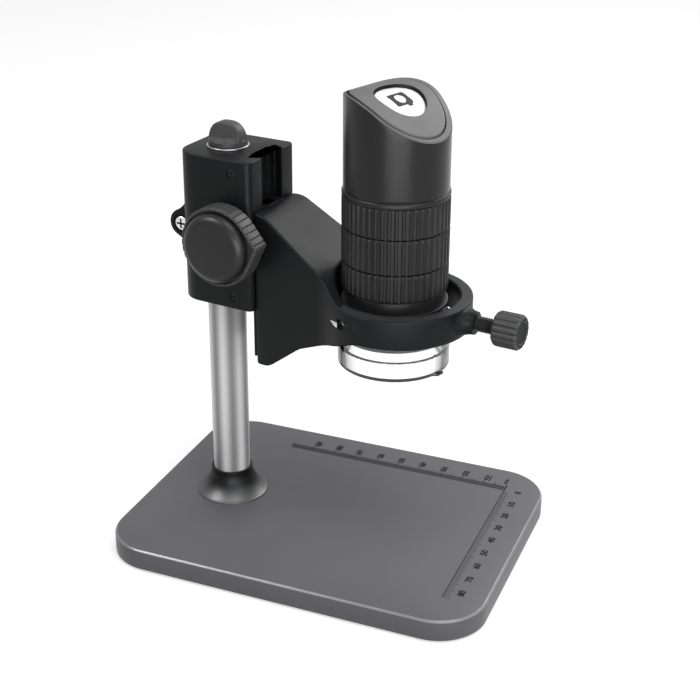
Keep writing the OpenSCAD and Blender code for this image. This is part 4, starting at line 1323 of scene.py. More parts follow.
    def build(self, dresser: Dresser) -> None:
        """Builds and dresses the head.

        Args:
            dresser: What puts the pieces on their bodies.
        """
        dresser.dress(self.block(), Body.HEAD, BLACK_COAT, "focus_block")
        dresser.dress(self.lug(), Body.HEAD, BLACK_COAT, "focus_block")
        dresser.dress(self.skirt(), Body.LOCK, KNOB_MOULDING, "lock_knob")
        dresser.dress(self.wing(), Body.LOCK, KNOB_MOULDING, "lock_knob")
        dresser.dress(self.washer(), Body.HEAD, MACHINED_STEEL, "lock_washer")
        screw, hub = self.clamp_screw()
        self.blacken_cross(dresser.dress(screw, Body.HEAD, BRIGHT_STEEL, "clamp_screw"), hub)
        dresser.soften_node("clamp_nut", Body.HEAD, MACHINED_STEEL, 0.15)
        dresser.soften_node("gib_screws", Body.HEAD, BLACKED_STEEL, 0.06)
        dresser.soften_node("shaft_bush", Body.HEAD, SINTERED, 0.2)
        dresser.coat_node("lock_screw", MACHINED_STEEL)


@dataclass
class FocusDrive:
    """The focus knob with its grip and domed cap, and the pinion behind it."""

    grip_r: float = 15.8
    nose_reach: float = 18.6
    nose_r: float = 1.4
    nose_deg: float = 7.0
    flats: int = 30
    notch: float = 0.4
    notch_half: float = 0.3
    dish: float = 1.3
    dish_ease: float = 0.12
    dish_draft: float = 0.08
    land: float = 1.1
    grip_back: float = 20.8
    grip_w: float = 7.6
    hub_r: float = 9.0
    cap_r: float = 13.6
    cap_h: float = 4.0
    cap_wall: float = 1.5
    cap_edge: float = 0.06
    cap_step: float = 0.1
    cap_dome: float = 0.35
    dome_share: float = 0.72
    shoulder_deg: float = 16.0

    def grip_outline(self, notch: float) -> Points:
        """Gives the grip's outline: flats round a circle with a notch between each two, and the nose.

        Args:
            notch: Depth of the notches.

        Returns:
            The outline's points, as many for any depth.
        """
        touch = math.acos(self.grip_r / self.nose_reach)
        ring = self.grip_r * unit(touch + (TAU - 2 * touch) * np.arange(self.flats + 1) / self.flats)
        tip, share = np.array([self.nose_reach, 0.0]), np.array([0.27, 0.54, 0.8])[:, None]
        first, last = ring[:1], ring[-1:]
        run = np.concatenate([first + (tip - first) * share[::-1], ring, last + (tip - last) * share])
        way = np.gradient(run, axis=0)
        way /= np.linalg.norm(way, axis=1, keepdims=True)
        deep, half = run - notch * np.c_[way[:, 1], -way[:, 0]], way * self.notch_half
        run = np.stack([run - half, deep, run + half], axis=1).reshape(-1, 2)
        nose = rounded_polyline(np.array([run[-1], tip, run[0]]), [0, self.nose_r, 0], False, 6)[1:-1]
        turn = math.radians(self.nose_deg)
        spin = np.array([[math.cos(turn), math.sin(turn)], [-math.sin(turn), math.cos(turn)]])
        return np.concatenate([run, nose]) @ spin

    def grip(self) -> Object:
        """Makes the grip: the notched outline raised with round edges, and a dish in its face.

        Returns:
            The grip.
        """
        front = self.grip_back + self.grip_w
        grid = prism_grid(self.grip_outline(self.notch), self.grip_back, front, 0.5, 4)
        edge, ease = self.land, self.dish_ease
        dish = offset_loops(self.grip_outline(0.0), [(edge, front), (edge + ease, front - ease),
                                                     (edge + ease + self.dish_draft, front - self.dish)])
        return grid_object("knob_grip_rim", np.concatenate([grid, dish]), KNOB_PLACE, sharp_deg=22)

    def hub(self) -> Object:
        """Makes the hub between the bush and the grip."""
        profile = np.array([[self.hub_r, self.grip_back - 1.4], [self.hub_r, self.grip_back + 0.4]])
        return grid_object("knob_hub", lathe_grid(profile), KNOB_PLACE)

    def cap(self) -> Object:
        """Makes the polished cap: a straight wall, a round shoulder and a shallow dome.

        The shoulder is the upper part of a quarter ellipse, so that it meets the wall in an edge.

        Returns:
            The cap.
        """
        wall, edge, inner = self.cap_wall, self.cap_edge, self.cap_r * self.dome_share
        a = np.linspace(math.radians(self.shoulder_deg), math.pi / 2, 14)
        across = (self.cap_r - self.cap_step - inner) / math.cos(a[0])
        up = (self.cap_h - self.cap_dome - wall - edge) / (1 - math.sin(a[0]))
        side = np.c_[inner + across * np.cos(a), wall + edge + up * (np.sin(a) - math.sin(a[0]))]
        s = np.linspace(0, 1, 14)[1:]
        crown = np.c_[inner * (1 - s) + 0.01 * s, self.cap_h - self.cap_dome * (1 - s) ** 2]
        profile = np.concatenate([[[self.cap_r, -self.dish], [self.cap_r, wall - edge]], side, crown])
        place = KNOB_PLACE.moved(0, 0, self.grip_back + self.grip_w)
        return grid_object("knob_cap_dome", lathe_grid(profile, 128), place, sharp_deg=45)

    def build(self, dresser: Dresser) -> None:
        """Builds and dresses the focus drive.

        Args:
            dresser: What puts the pieces on their bodies.
        """
        dresser.dress(self.grip(), Body.DRIVE, KNOB_MOULDING, "knob_grip")
        dresser.dress(self.hub(), Body.DRIVE, KNOB_MOULDING, "knob_grip")
        dresser.dress(self.cap(), Body.DRIVE, GLOSS_BLACK, "knob_cap")
        dresser.soften_node("pinion_gear", Body.DRIVE, SINTERED, 0.05)
        dresser.soften_node("pinion_shaft", Body.DRIVE, MACHINED_STEEL, 0.2)


@dataclass
class Arm:
    """The arm with its rail, rack, holder ring and boss."""

    back_x: float = 23.1
    half_w: float = 14.6
    flank_deg: float = 8.6
    flank_r: float = 18.0
    ring_x: float = 78.0
    ring_in: float = 23.6
    ring_out: float = 28.4
    ring_h: float = 11.8
    ring_up: float = 25.3
    arm_h: float = 63.3
    top_slope: float = 33.8
    under_slope: float = 38.0
    top_r: float = 9.0
    foot_r: float = 8.0
    foot_run: float = 5.6
    blend_r: float = 10.0
    break_share: float = 0.486
    shelf_share: float = 0.9
    edge_r: float = 0.9
    boss_end: float = 110.7
    boss_r: float = 4.4
    boss_flare: float = 6.0
    set_deg: float = 110.0
    relief_r: float = 2.2
    relief_out: float = 1.25
    relief_half: float = 14.2
    rail_in: float = 18.3
    rail_half: float = 9.02
    neck_half: float = 6.87
    rack_half: float = 3.0
    rack_back: float = 21.8
    bore_x: float = 76.5
    bore_r: float = 2.1
    boss_ease: float = 0.3
    boss_end_share: float = 0.93

    def plan(self) -> Points:
        """Gives the outer plan: the flanks run out, sweep round and join the ring.

        Returns:
            The outline, counter-clockwise, with the ring closed past the flanks.
        """
        centre = np.array([self.ring_x, 0.0])
        start = np.array([self.back_x, self.half_w])
        a = math.radians(self.flank_deg)
        along = np.array([math.cos(a), math.sin(a)])
        normal = np.array([-math.sin(a), math.cos(a)])
        q = start + normal * self.flank_r - centre
        b = q @ along
        run = -b - math.sqrt(b * b - q @ q + (self.ring_out + self.flank_r) ** 2)
        hub = start + along * run + normal * self.flank_r
        meet = math.atan2(hub[1], hub[0] - self.ring_x)
        flare = hub + self.flank_r * unit(np.linspace(a - math.pi / 2, meet - math.pi, 20))
        ring = centre + self.ring_out * unit(np.linspace(meet, 0, 46)[1:])
        back = np.array([[self.back_x, 0.0], start, start + along * 6])
        half = np.concatenate([rounded_polyline(back, [0, 1.2, 0], False, 5), flare, ring])
        return refined(np.concatenate([half[::-1], half[1:-1] * (1, -1)]), 2.0)

    @property
    def mid_z(self) -> float:
        """Gives the height of the ring's middle."""
        return levels("arm")[0] + self.ring_up + self.ring_h / 2

    def heights(self) -> tuple[Points, Points]:
        """Gives the arm's upper and lower side profiles as polylines of (x, z).

        Returns:
            The upper and the lower profile, from the back to past the ring.
        """
        foot = levels("arm")[0]
        top, ring_z = foot + self.arm_h, foot + self.ring_up
        ring_top = ring_z + self.ring_h
        far = self.ring_x + 40
        a = self.back_x + self.top_r / 2
        b = a + (top - ring_top) / math.tan(math.radians(self.top_slope))
        upper = rounded_polyline(np.array([[0, top], [a, top], [b, ring_top], [far, ring_top]]),
                                 [0, self.top_r, self.blend_r, 0], False, 16)
        a = self.back_x + self.foot_run
        rise = (ring_z - foot) * self.break_share
        mid = np.array([a + rise / math.tan(math.radians(self.under_slope)), foot + rise])
        flat = mid[0] + (self.ring_x - mid[0]) * self.shelf_share
        lower = rounded_polyline(np.array([[0, foot], [a, foot], mid, [flat, ring_z], [far, ring_z]]),
                                 [0, self.foot_r, self.blend_r, self.blend_r, 0], False, 16)
        return upper, lower

    def body(self) -> Object:
        """Makes the arm and ring as one closed band round the ring's hole.

        Every row is a loop about the ring's axis. A point lies between the outer plan and the hole
        by a share, and its height is the upper or lower side profile at its own X.

        Returns:
            The arm's body.
        """
        outer = self.plan()
        upper, lower = self.heights()
        centre = np.array([self.ring_x, 0.0])
        ray = outer - centre
        outward = ray / np.linalg.norm(ray, axis=1, keepdims=True)
        hole = centre + outward * self.ring_in

        def row(points: Points, side: Points, drop: float) -> Points:
            """Lifts plan points to a side profile, less a drop."""
            return np.c_[points, np.interp(points[:, 0], side[:, 0], side[:, 1]) - drop]

        edge = fillet_rows(self.edge_r, 5)
        shares = 0.5 - 0.5 * np.cos(np.linspace(0, math.pi, 22))[1:-1]
        start, end = inset(outer, self.edge_r), hole + outward * self.edge_r
        rows = [row(inset(outer, i), lower, -d) for i, d in edge[::-1]]
        rows += [row(inset(outer, i), upper, d) for i, d in edge]
        rows += [row(start + (end - start) * s, upper, 0) for s in shares]
        rows += [row(hole + outward * i, upper, d) for i, d in edge[::-1]]
        rows += [row(hole + outward * i, lower, -d) for i, d in edge]
        rows += [row(end + (start - end) * s, lower, 0) for s in shares]
        made = grid_object("arm_body", np.array(rows), HEAD_PLACE, Ends.LOOPED, 34)
        cutters = []
        for way in (-1, 1):
            a = math.radians(way * self.set_deg)
            out, side = [math.cos(a), math.sin(a), 0], [-math.sin(a), math.cos(a), 0]
            hub = HEAD_PLACE.moved(self.ring_x, 0, self.mid_z).turned([0, 0, 1], out, side)
            cutters.append(rod_cutter(hub.moved(0, self.ring_out + self.relief_out, 0), self.relief_r,
                                      -self.relief_half, self.relief_half))
            bore = HEAD_PLACE.moved(self.bore_x, 0, self.mid_z).turned([0, 0, 1], side, out)
            cutters.append(rod_cutter(bore, self.bore_r, 19.0, 34.0))
        carve(made, cutters, 34)
        return made

    def bare_recess(self, made: Object) -> None:
        """Gives the recesses round the set screws the bare metal that their drilling shows, and paints
        light on the ring's top face.

        Args:
            made: The arm's body, dressed.
        """
        mesh = made.data
        local = HEAD_PLACE.local(mesh_points(mesh)) - (self.ring_x, 0, self.mid_z)
        corners = values_of(mesh.loops, "vertex_index", kind=int)
        starts = values_of(mesh.polygons, "loop_start", kind=int)
        chosen = np.zeros(len(starts), bool)
        for way in (-1, 1):
            a = math.radians(way * self.set_deg)
            out = local[:, 0] * math.cos(a) + local[:, 1] * math.sin(a) - self.ring_out - self.relief_out
            along = local[:, 1] * math.cos(a) - local[:, 0] * math.sin(a)
            on_wall = np.abs(np.hypot(out, local[:, 2]) - self.relief_r) < 0.04
            on_wall &= (np.abs(along) < self.relief_half + 0.1) & (way * along > -0.5)
            chosen |= np.logical_and.reduceat(on_wall[corners], starts)
        centres, normals = face_values(mesh, WORLD)
        second_finish(made, BARE_CUT, chosen & (normals[:, 2] > 0.1))
        # Painted light: the ring's upward top face gets the lighter colour.
        flat = np.abs(centres[:, 2] - self.mid_z - self.ring_h / 2) < 0.4
        second_finish(made, RING_TOP_LIGHT, flat & (normals[:, 2] > 0.9))

    def rail(self) -> Object:
        """Makes the dovetail rail with the slot that holds the rack.

        Returns:
            The rail, sunk a little into the arm's back.
        """
        foot, top = levels("arm")
        half = np.array([[self.back_x + 0.6, self.neck_half], [self.back_x - 0.3, self.neck_half],
                         [self.rail_in, self.rail_half], [self.rail_in, self.rack_half],
                         [self.rack_back, self.rack_half]])
        outline = rounded_polyline(*mirrored(half, [0, 0.2, 0.4, 0.2, 0.1]), True, 4)
        return grid_object("arm_rail", prism_grid(refined(outline, 5), foot, top, 0.3, 2), HEAD_PLACE)

    def boss(self) -> Object:
        """Makes the boss: round at its tip and flaring to the ring.

        The half width and half height fall from the ring along a quarter arc. A row's power
        falls from 3.5 to 2, so that the section goes from square to round.

        Returns:
            The boss.
        """
        s = np.linspace(0, 1, 22)
        curve = 1 - np.sqrt(1 - (1 - s) ** 2)
        half_y = self.boss_r + self.boss_flare * curve
        half_z = self.boss_r + (self.ring_h / 2 - self.boss_r - 0.1) * curve
        circle = unit(full_turn(72))
        rows = []
        for share, hy, hz, power in zip(s, half_y, half_z, 2 + 1.5 * curve):
            y, z = (np.sign(circle) * np.abs(circle) ** (2 / power) * (hy, hz)).T
            root = self.ring_x + np.sqrt(self.ring_out ** 2 - y ** 2) - 0.6
            x = root + (self.boss_end - root) * min(1.0, share * 1.02)
            rows.append(np.c_[x, y, self.mid_z + z])
        middle = (0, 0, self.mid_z)
        tip = middle + (rows[-1] - middle) * (1, self.boss_end_share, self.boss_end_share)
        rows[-1] = rows[-1] - (self.boss_ease, 0, 0)
        return grid_object("ring_boss", np.array(rows + [tip]), HEAD_PLACE, sharp_deg=40)

    def build(self, dresser: Dresser) -> None:
        """Builds and dresses the arm.

        Args:
            dresser: What puts the pieces on their bodies.
        """
        body = dresser.dress(self.body(), Body.ARM, BLACK_COAT, "arm")
        self.bare_recess(body)
        dresser.dress(self.rail(), Body.ARM, BLACK_COAT, "arm")
        dresser.dress(self.boss(), Body.ARM, BLACK_COAT, "arm")
        dresser.soften_node("rack", Body.ARM, MACHINED_STEEL, 0.05)
        dresser.soften_node("set_screws", Body.ARM, MACHINED_STEEL, 0.12)
        dresser.soften_node("ring_liner", Body.LINER, BLACK_MOULDING, 0.1)


@dataclass
class ThumbScrew:
    """The screw that presses on the barrel, its knob and its pad."""

    thread_r: float = 3.0
    thread_d: float = 0.55
    pitch: float = 1.0
    end_d: float = 0.3
    knob_r: float = 6.7
    rib_d: float = 0.7
    ribs: int = 16
    bevel: float = 0.9
    end_rim: float = 2.2
    end_sunk: float = 0.35

    def span(self, node: str) -> tuple[float, float]:
        """Gives a node's extent along the screw's axis."""
        along = THUMB_PLACE.local(mesh_points(frame["nodes"][node].data))[:, 2]
        return float(along.min()), float(along.max())

    def thread(self) -> Object:
        """Makes the thread: the radius falls by a triangle wave of height over pitch less the turn.

        Returns:
            The threaded rod.
        """
        z0, z1 = self.span("thumb_screw")
        z = np.linspace(z0, z1, int((z1 - z0) / self.pitch * 10))
        a = full_turn(40)
        wave = np.abs((z[:, None] / self.pitch - a[None] / TAU) % 1 - 0.5) * 2
        end = np.clip(z1 - z, 0, 1) * np.clip(z - z0, 0.25, 1)
        cut = self.thread_d * np.clip(wave * 1.3 - 0.15, 0, 1) + self.end_d * (1 - end[:, None])
        grid = polar_grid(self.thread_r - cut, a, z)
        return grid_object("thumb_thread", grid, THUMB_PLACE, sharp_deg=60)

    def knob(self) -> Object:
        """Makes the ribbed knob: a bevelled profile whose radius dips between its ribs.

        Returns:
            The knob.
        """
        z0, z1 = self.span("thumb_knob")
        r, bevel, hollow = self.knob_r, self.bevel, self.knob_r - self.end_rim
        profile = soft_profile([
            (0.01, z0), (r - bevel, z0), (r, z0 + bevel), (r, z1 - bevel), (r - bevel, z1), (hollow, z1),
            (hollow - 0.4, z1 - self.end_sunk), (0.01, z1 - self.end_sunk)],
            [0, 0.3, 0.4, 0.4, 0.3, 0.1, 0.1, 0], False, 4)
        a = full_turn(self.ribs * 12)
        wave = np.abs(np.cos(a * self.ribs / 2)) ** 0.6
        outer = np.clip(profile[:, 0] - (self.knob_r - 1.6), 0, 1)
        r = profile[:, :1] - self.rib_d * outer[:, None] * (1 - wave[None])
        grid = polar_grid(r, a, profile[:, 1])
        return grid_object("thumb_knob_ribbed", grid, THUMB_PLACE, sharp_deg=40)

    def build(self, dresser: Dresser) -> None:
        """Builds and dresses the thumb screw.

        Args:
            dresser: What puts the pieces on their bodies.
        """
        dresser.dress(self.thread(), Body.THUMB, BLACKED_STEEL, "thumb_screw")
        knob = dresser.dress(self.knob(), Body.THUMB, KNOB_MOULDING, "thumb_knob")
        # Painted shade: the knob's end face gets the dark finish.
        second_finish(knob, THUMB_END_SHADE, face_values(knob.data, THUMB_PLACE)[1][:, 2] > 0.9)
        dresser.soften_node("pressure_pad", Body.PAD, MAT_RUBBER, 0.3)


@dataclass
class Microscope:
    """The barrel with its ribbed bands, sloping face, cover, button and clear tip."""

    barrel_r: float = 19.8
    wall: float = 1.8
    rib_r: float = 20.25
    rib_d: float = 0.55
    ribs: int = 48
    rib_middle: float = 0.31
    rib_half: float = 0.26
    rib_slope: float = 9.0
    plain_h: float = 2.4
    sleeve_r: float = 18.0
    lower_r: float = 19.4
    lower_bore_r: float = 17.8
    end_bore_r: float = 16.2
    end_t: float = 1.6
    crest_r: float = 24.0
    crest_back: float = 9.0
    slope_deg: float = 36.0
    rim: float = 0.7
    cover_side: float = 0.95
    cover_t: float = 2.0
    cover_gap: float = 0.8
    ledge: float = 1.0
    face_ease: float = 0.7
    button_fore: float = 0.4
    button_side: float = 0.7
    button_a: float = 9.2
    button_b: float = 10.5
    button_sunk: float = 1.25
    button_gap: float = 0.4
    button_ease: float = 0.35
    lip_w: float = 0.8
    lip_t: float = 0.95
    cover_ease: float = 0.25
    cover_off: float = 0.6
    glyph_w: float = 8.8
    glyph_h: float = 6.6
    glyph_lens_r: float = 2.3
    ink_t: float = 0.05
    tip_r: float = 21.5
    tip_h: float = 13.6
    tip_wall: float = 1.3
    tip_step: float = 7.2
    rim_h: float = 1.5
    tab_w: float = 5.0
    tab_reach: float = 1.6
    tab_t: float = 1.0
    tab_fade: float = 0.5
    socket_half: float = 4.0
    socket_gap: float = 0.1
    around: int = 192
    crest_z: float = field(init=False)
    tilt: float = field(init=False)

    def __post_init__(self) -> None:
        """Reads the crest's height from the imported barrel, and works out the button's tilt."""
        self.crest_z = levels("upper_barrel")[1]
        self.tilt = math.asin((self.button_fore + self.crest_back) / self.crest_r)

    def face_z(self, x: Points, depth: float = 0.0) -> Points:
        """Gives the height of the sloping face, or of the surface a depth under it.

        Args:
            x: Distances down the slope from the microscope's axis.
            depth: Distance below the face, along its normal.

        Returns:
            Heights: a circle's over the crest, then a straight slope that touches the circle.
        """
        slope = math.radians(self.slope_deg)
        r = self.crest_r - depth
        turn = r * math.sin(slope) - self.crest_back
        centre = self.crest_z - self.crest_r
        arc = centre + np.sqrt(np.maximum(r * r - (x + self.crest_back) ** 2, 0))
        line = centre + r * math.cos(slope) - (x - turn) * math.tan(slope)
        return np.where(x < turn, arc, line)

    def circle(self, r: float, side: float = 0.0) -> Points:
        """Gives a circle in plan whose centre is moved sideways."""
        return r * unit(full_turn(self.around)) + (0, side)

    def draped(self, plan: Points, drop: float, depth: float = 0.0) -> Points:
        """Lays plan points on the face, less a drop."""
        return np.c_[plan, self.face_z(plan[:, 0], depth) - drop]

    def band(self, node: str, name: str) -> Object:
        """Makes a ribbed sleeve: the radius dips between ribs, and the dips fade out at the ends.

        Args:
            node: The CAD node that it stands for.
            name: The new piece's name.

        Returns:
            The sleeve.
        """
        z0, z1 = levels(node)
        plain = self.plain_h if node == "top_grip_band" else 0.0
        a = full_turn(self.ribs * 10)
        share = (a * self.ribs / TAU) % 1
        rib = np.clip((self.rib_half - np.abs(share - self.rib_middle)) * self.rib_slope, 0, 1)
        rib = rib * rib * (3 - 2 * rib)
        end, near = z1 - plain, np.array([0, 0.12, 0.3, 0.55, 0.9, 1.4])
        z = np.concatenate([z0 + near, np.linspace(z0 + 2.2, end - 2.2, 6), end - near[::-1]])
        fade = np.minimum(np.clip((z - z0) / 0.55, 0, 1), np.clip((end - z) / 0.9, 0, 1))
        fade = np.sqrt(1 - (1 - fade) ** 2)
        dip_r = self.rib_r - self.rib_d
        r = dip_r + self.rib_d * rib[None] * fade[:, None]
        if plain:
            b = np.linspace(0, 1, 7)[1:]
            top = np.array([self.rib_r, self.rib_r - 0.1, self.rib_r - 0.28, self.barrel_r])
            smooth = np.concatenate([dip_r + self.rib_d * np.sin(b * math.pi / 2), top])
            z = np.concatenate([z, end + 0.8 * b, z1 - np.array([0.62, 0.35, 0.14, 0.0])])
            r = np.concatenate([r, np.repeat(smooth[:, None], len(a), axis=1)])
        inner = np.full((1, len(a)), self.sleeve_r)
        grid = polar_grid(np.concatenate([inner, r, inner]), a, np.concatenate([[z0], z, [z1]]))
        return grid_object(name, grid, SCOPE_PLACE, Ends.LOOPED, 50)

    def barrel(self) -> Object:
        """Makes the upper barrel: a round wall, an eased rim on the slope and the cover's seat.

        Returns:
            The barrel.
        """
        low = levels("upper_barrel")[0]
        outer, rim = self.circle(self.barrel_r), self.circle(self.barrel_r - self.face_ease)
        inner_r, seat_r = self.barrel_r - self.wall, self.barrel_r - self.rim - self.cover_side
        seat = [self.circle(seat_r + grow, -self.cover_side) for grow in (0.12, 0, -self.ledge)]
        rows = [level(self.circle(inner_r), low)]
        for r, z in ((self.barrel_r - 0.35, low), (self.barrel_r - 0.12, low + 0.1),
                     (self.barrel_r, low + 0.35)):
            rows.append(level(self.circle(r), z))
        top = self.face_z(outer[:, 0]) - self.face_ease * 1.3
        rows += [np.c_[outer, low + (top - low) * share] for share in np.linspace(0.05, 1, 12)]
        rows += [self.draped(self.circle(self.barrel_r - i), d)
                 for i, d in fillet_rows(self.face_ease, 6)[1:]]
        rows += [self.draped(rim * (1 - share) + seat[0] * share, 0) for share in (0.33, 0.66, 1)]
        depth = self.cover_t + self.ledge
        for plan, drop, under in ((seat[1], 0.12, 0.0), (seat[1], 0.0, self.cover_t),
                                  (seat[2], 0.0, self.cover_t), (seat[2], 0.0, depth),
                                  (self.circle(inner_r - 0.02), 0.6, depth)):
            rows.append(self.draped(plan, drop, under))
        made = grid_object("barrel", np.array(rows), SCOPE_PLACE, Ends.LOOPED, 34)
        z0, z1 = levels("cable_socket")
        half = self.socket_half
        carve(made, [box_cutter(SCOPE_PLACE, (-self.barrel_r - 1, -half, z0 - self.socket_gap),
                                (-self.barrel_r + 3, half, z1 + self.socket_gap))], 34)
        return made

    def light_rim(self, made: Object) -> None:
        """Paints light on the sloping rim round the cover by giving it the cover's lighter finish.

        Args:
            made: The barrel, dressed.
        """
        centres, normals = face_values(made.data, SCOPE_PLACE)
        under = self.face_z(centres[:, 0]) - centres[:, 2]
        second_finish(made, COVER_TOP_LIGHT, (under < 0.6) & (normals[:, 2] > 0.4))

    def button_outline(self, grow: float) -> Points:
        """Gives the button's oval in plan, seen from above.

        Args:
            grow: Distance added to both half sizes.

        Returns:
            Plan points: the oval lies in the tangent plane at its centre, so its length down the
            slope is shortened by the cosine of that plane's tilt.
        """
        half = (self.button_a + grow) * math.cos(self.tilt), self.button_b + grow
        return (self.button_fore, self.button_side) + half * unit(full_turn(self.around))

    def cover(self) -> Object:
        """Makes the cover plate as a closed band between the button's well and its outer edge.

        Returns:
            The cover.
        """
        r = self.barrel_r - self.rim - self.cover_side - self.cover_gap
        well = self.button_outline(self.button_gap)
        side = self.cover_off - self.cover_side
        edge = self.circle(r, side)
        ease = self.cover_ease
        rows = [self.draped(well, 0.0, self.cover_t)]
        for i, d in fillet_rows(ease, 3):
            rows.append(self.draped(self.button_outline(self.button_gap + i), d))
        start = self.button_outline(self.button_gap + ease)
        stop = self.circle(r - ease, side)
        for share in np.linspace(0, 1, 14)[1:-1]:
            rows.append(self.draped(start + (stop - start) * share, 0.0))
        for i, d in fillet_rows(ease, 3)[::-1]:
            rows.append(self.draped(self.circle(r - i, side), d))
        rows.append(self.draped(edge, 0.0, self.cover_t))
        for share in (0.66, 0.33):
            rows.append(self.draped(well + (edge - well) * share, 0.0, self.cover_t))
        return grid_object("cover_plate", np.array(rows), SCOPE_PLACE, Ends.LOOPED, 34)

    def dark_well(self, made: Object) -> None:
        """Gives the walls of the button's well a black coat as painted shade.

        Args:
            made: The cover, dressed.
        """
        centres, normals = face_values(made.data, SCOPE_PLACE)
        middle = centres[:, :2] - (self.button_fore, self.button_side)
        inwards = np.einsum("ij,ij->i", middle, normals[:, :2]) < -0.5
        under = self.face_z(centres[:, 0]) - centres[:, 2]
        second_finish(made, BLACK_COAT, inwards & (under > 0.15) & (np.abs(normals[:, 2]) < 0.7))

    def button(self) -> Object:
        """Makes the white button: an oval that follows the face at its own depth, with a lip below.

        Returns:
            The button.
        """
        rows, middle = [], np.array([self.button_fore, self.button_side])
        for share in np.linspace(0.02, 1, 10)[:-1]:
            plan = middle + (self.button_outline(-self.button_ease) - middle) * share
            rows.append(self.draped(plan, 0.0, self.button_sunk - 0.12 * (1 - share ** 2)))
        for i, d in fillet_rows(self.button_ease, 4)[::-1]:
            rows.append(self.draped(self.button_outline(-i), d, self.button_sunk))
        lip, wide = self.cover_t + 0.1, self.lip_w
        under = lip + self.lip_t
        for grow, drop, depth in ((0, 0.0, lip), (wide, 0.05, lip), (wide, 0.0, under), (-6, 0.0, under)):
            rows.append(self.draped(self.button_outline(grow), drop, depth))
        return grid_object("button_top", np.array(rows), SCOPE_PLACE, sharp_deg=40)

    def glyph(self) -> Object:
        """Makes a plain camera sign of ink: a body round a lens hole, and a hump to one side.

        Returns:
            The sign.
        """
        w, h = self.glyph_w / 2, self.glyph_h / 2
        body = refined(rounded_polyline(rectangle(-w, -h, w, h), [0.7] * 4, True, 6), 0.4)
        hole = self.glyph_lens_r * unit(np.arctan2(body[:, 1], body[:, 0]))
        hump = np.array([[0.6, h - 0.2], [3.4, h - 0.2], [3.1, h + 0.9], [0.9, h + 0.9]])
        hump = refined(rounded_polyline(hump, [0, 0, 0.3, 0.3], True, 4), 0.4)
        core = np.mean(hump, axis=0) + (hump - np.mean(hump, axis=0)) * 0.05

        def lay(points: Points, raised: float) -> Points:
            """Lays drawing points on the button's face, with the drawing's top down the slope."""
            plan = np.c_[self.button_fore + points[:, 1] * math.cos(self.tilt),
                         self.button_side + points[:, 0]]
            return self.draped(plan, 0.0, self.button_sunk - 0.14 - raised)

        parts, shares = [], np.linspace(0, 1, 6)
        for outer, inner in ((body, hole), (hump, core)):
            top = [lay(outer + (inner - outer) * s, self.ink_t) for s in shares]
            under = [lay(outer + (inner - outer) * s, -self.ink_t) for s in shares[::-1]]
            parts.append(grid_object("part", np.array(top + under), SCOPE_PLACE, Ends.LOOPED, 50))
        return joined_object("button_sign", [part.data for part in parts])

    def lower(self) -> Object:
        """Makes the plain lower barrel with its turned-in end.

        Returns:
            The lower barrel.
        """
        z0, z1 = levels("lower_barrel")
        mouth_r, bore_r, step = self.end_bore_r, self.lower_bore_r, z0 + self.end_t
        profile = soft_profile([(mouth_r, z0), (self.lower_r, z0), (self.lower_r, z1), (bore_r, z1),
                                (bore_r, step), (mouth_r, step)], 0.25)
        return grid_object("barrel_end", lathe_grid(profile, self.around), SCOPE_PLACE, Ends.LOOPED)

    def tip(self) -> Object:
        """Makes the clear tip: a stepped tube with eased edges, and a pull tab on its rim.

        Returns:
            The tip.
        """
        z0 = levels("clear_tip")[0]
        step, socket = z0 + self.tip_step, levels("lower_barrel")[0]
        bore, fit = self.lower_r + 0.1 - self.tip_wall, self.lower_r + 0.1
        profile = soft_profile([
            (self.tip_r - self.tip_wall, z0), (self.tip_r, z0), (self.tip_r, z0 + self.tab_t),
            (self.tip_r, z0 + self.tab_t + self.tab_fade), (self.tip_r, z0 + self.tip_h),
            (fit, z0 + self.tip_h), (fit, socket - 0.1), (bore, socket - 0.1), (bore, step),
            (self.tip_r - self.tip_wall, step)],
            [0.35, 0.5, 0, 0, 0.5, 0.3, 0.1, 0.3, 0.3, 0.5])
        grid = lathe_grid(profile, self.around)
        radius = np.hypot(grid[..., 0], grid[..., 1])
        angle = np.arctan2(grid[..., 1], grid[..., 0])
        inside = np.clip((self.tab_w / 2 - np.abs(angle) * self.tip_r) / 0.8, 0, 1)
        low = np.clip((z0 + self.tab_t + self.tab_fade - grid[..., 2]) / self.tab_fade, 0, 1)
        outward = np.clip((radius - (self.tip_r - 0.6)) / 0.5, 0, 1)
        grow = 1 + self.tab_reach * inside * low * outward / radius
        grid[..., :2] *= grow[..., None]
        return grid_object("tip_clear", grid, SCOPE_PLACE, Ends.LOOPED, 45)

    def build(self, dresser: Dresser) -> None:
        """Builds and dresses the microscope.

        Args:
            dresser: What puts the pieces on their bodies.
        """
        self.light_rim(dresser.dress(self.barrel(), Body.SCOPE, BARREL_COAT, "upper_barrel"))
        for node, name, body in (("top_grip_band", "band_top", Body.SCOPE),
                                 ("focus_ring", "band_focus", Body.FOCUS_RING),
                                 ("low_grip_band", "band_low", Body.SCOPE)):
            dresser.dress(self.band(node, name), body, GRIP_MOULDING, node)
        dresser.dress(self.lower(), Body.SCOPE, BARREL_COAT, "lower_barrel")
        self.dark_well(dresser.dress(self.cover(), Body.SCOPE, COVER_TOP_LIGHT, "top_cover"))
        dresser.dress(self.button(), Body.BUTTON, WHITE_MOULDING, "shutter_button")
        dresser.dress(self.glyph(), Body.BUTTON, DARK_INK)
        tip = dresser.dress(self.tip(), Body.TIP, CLEAR_EDGE_SHADE_MOULDING, "clear_tip")
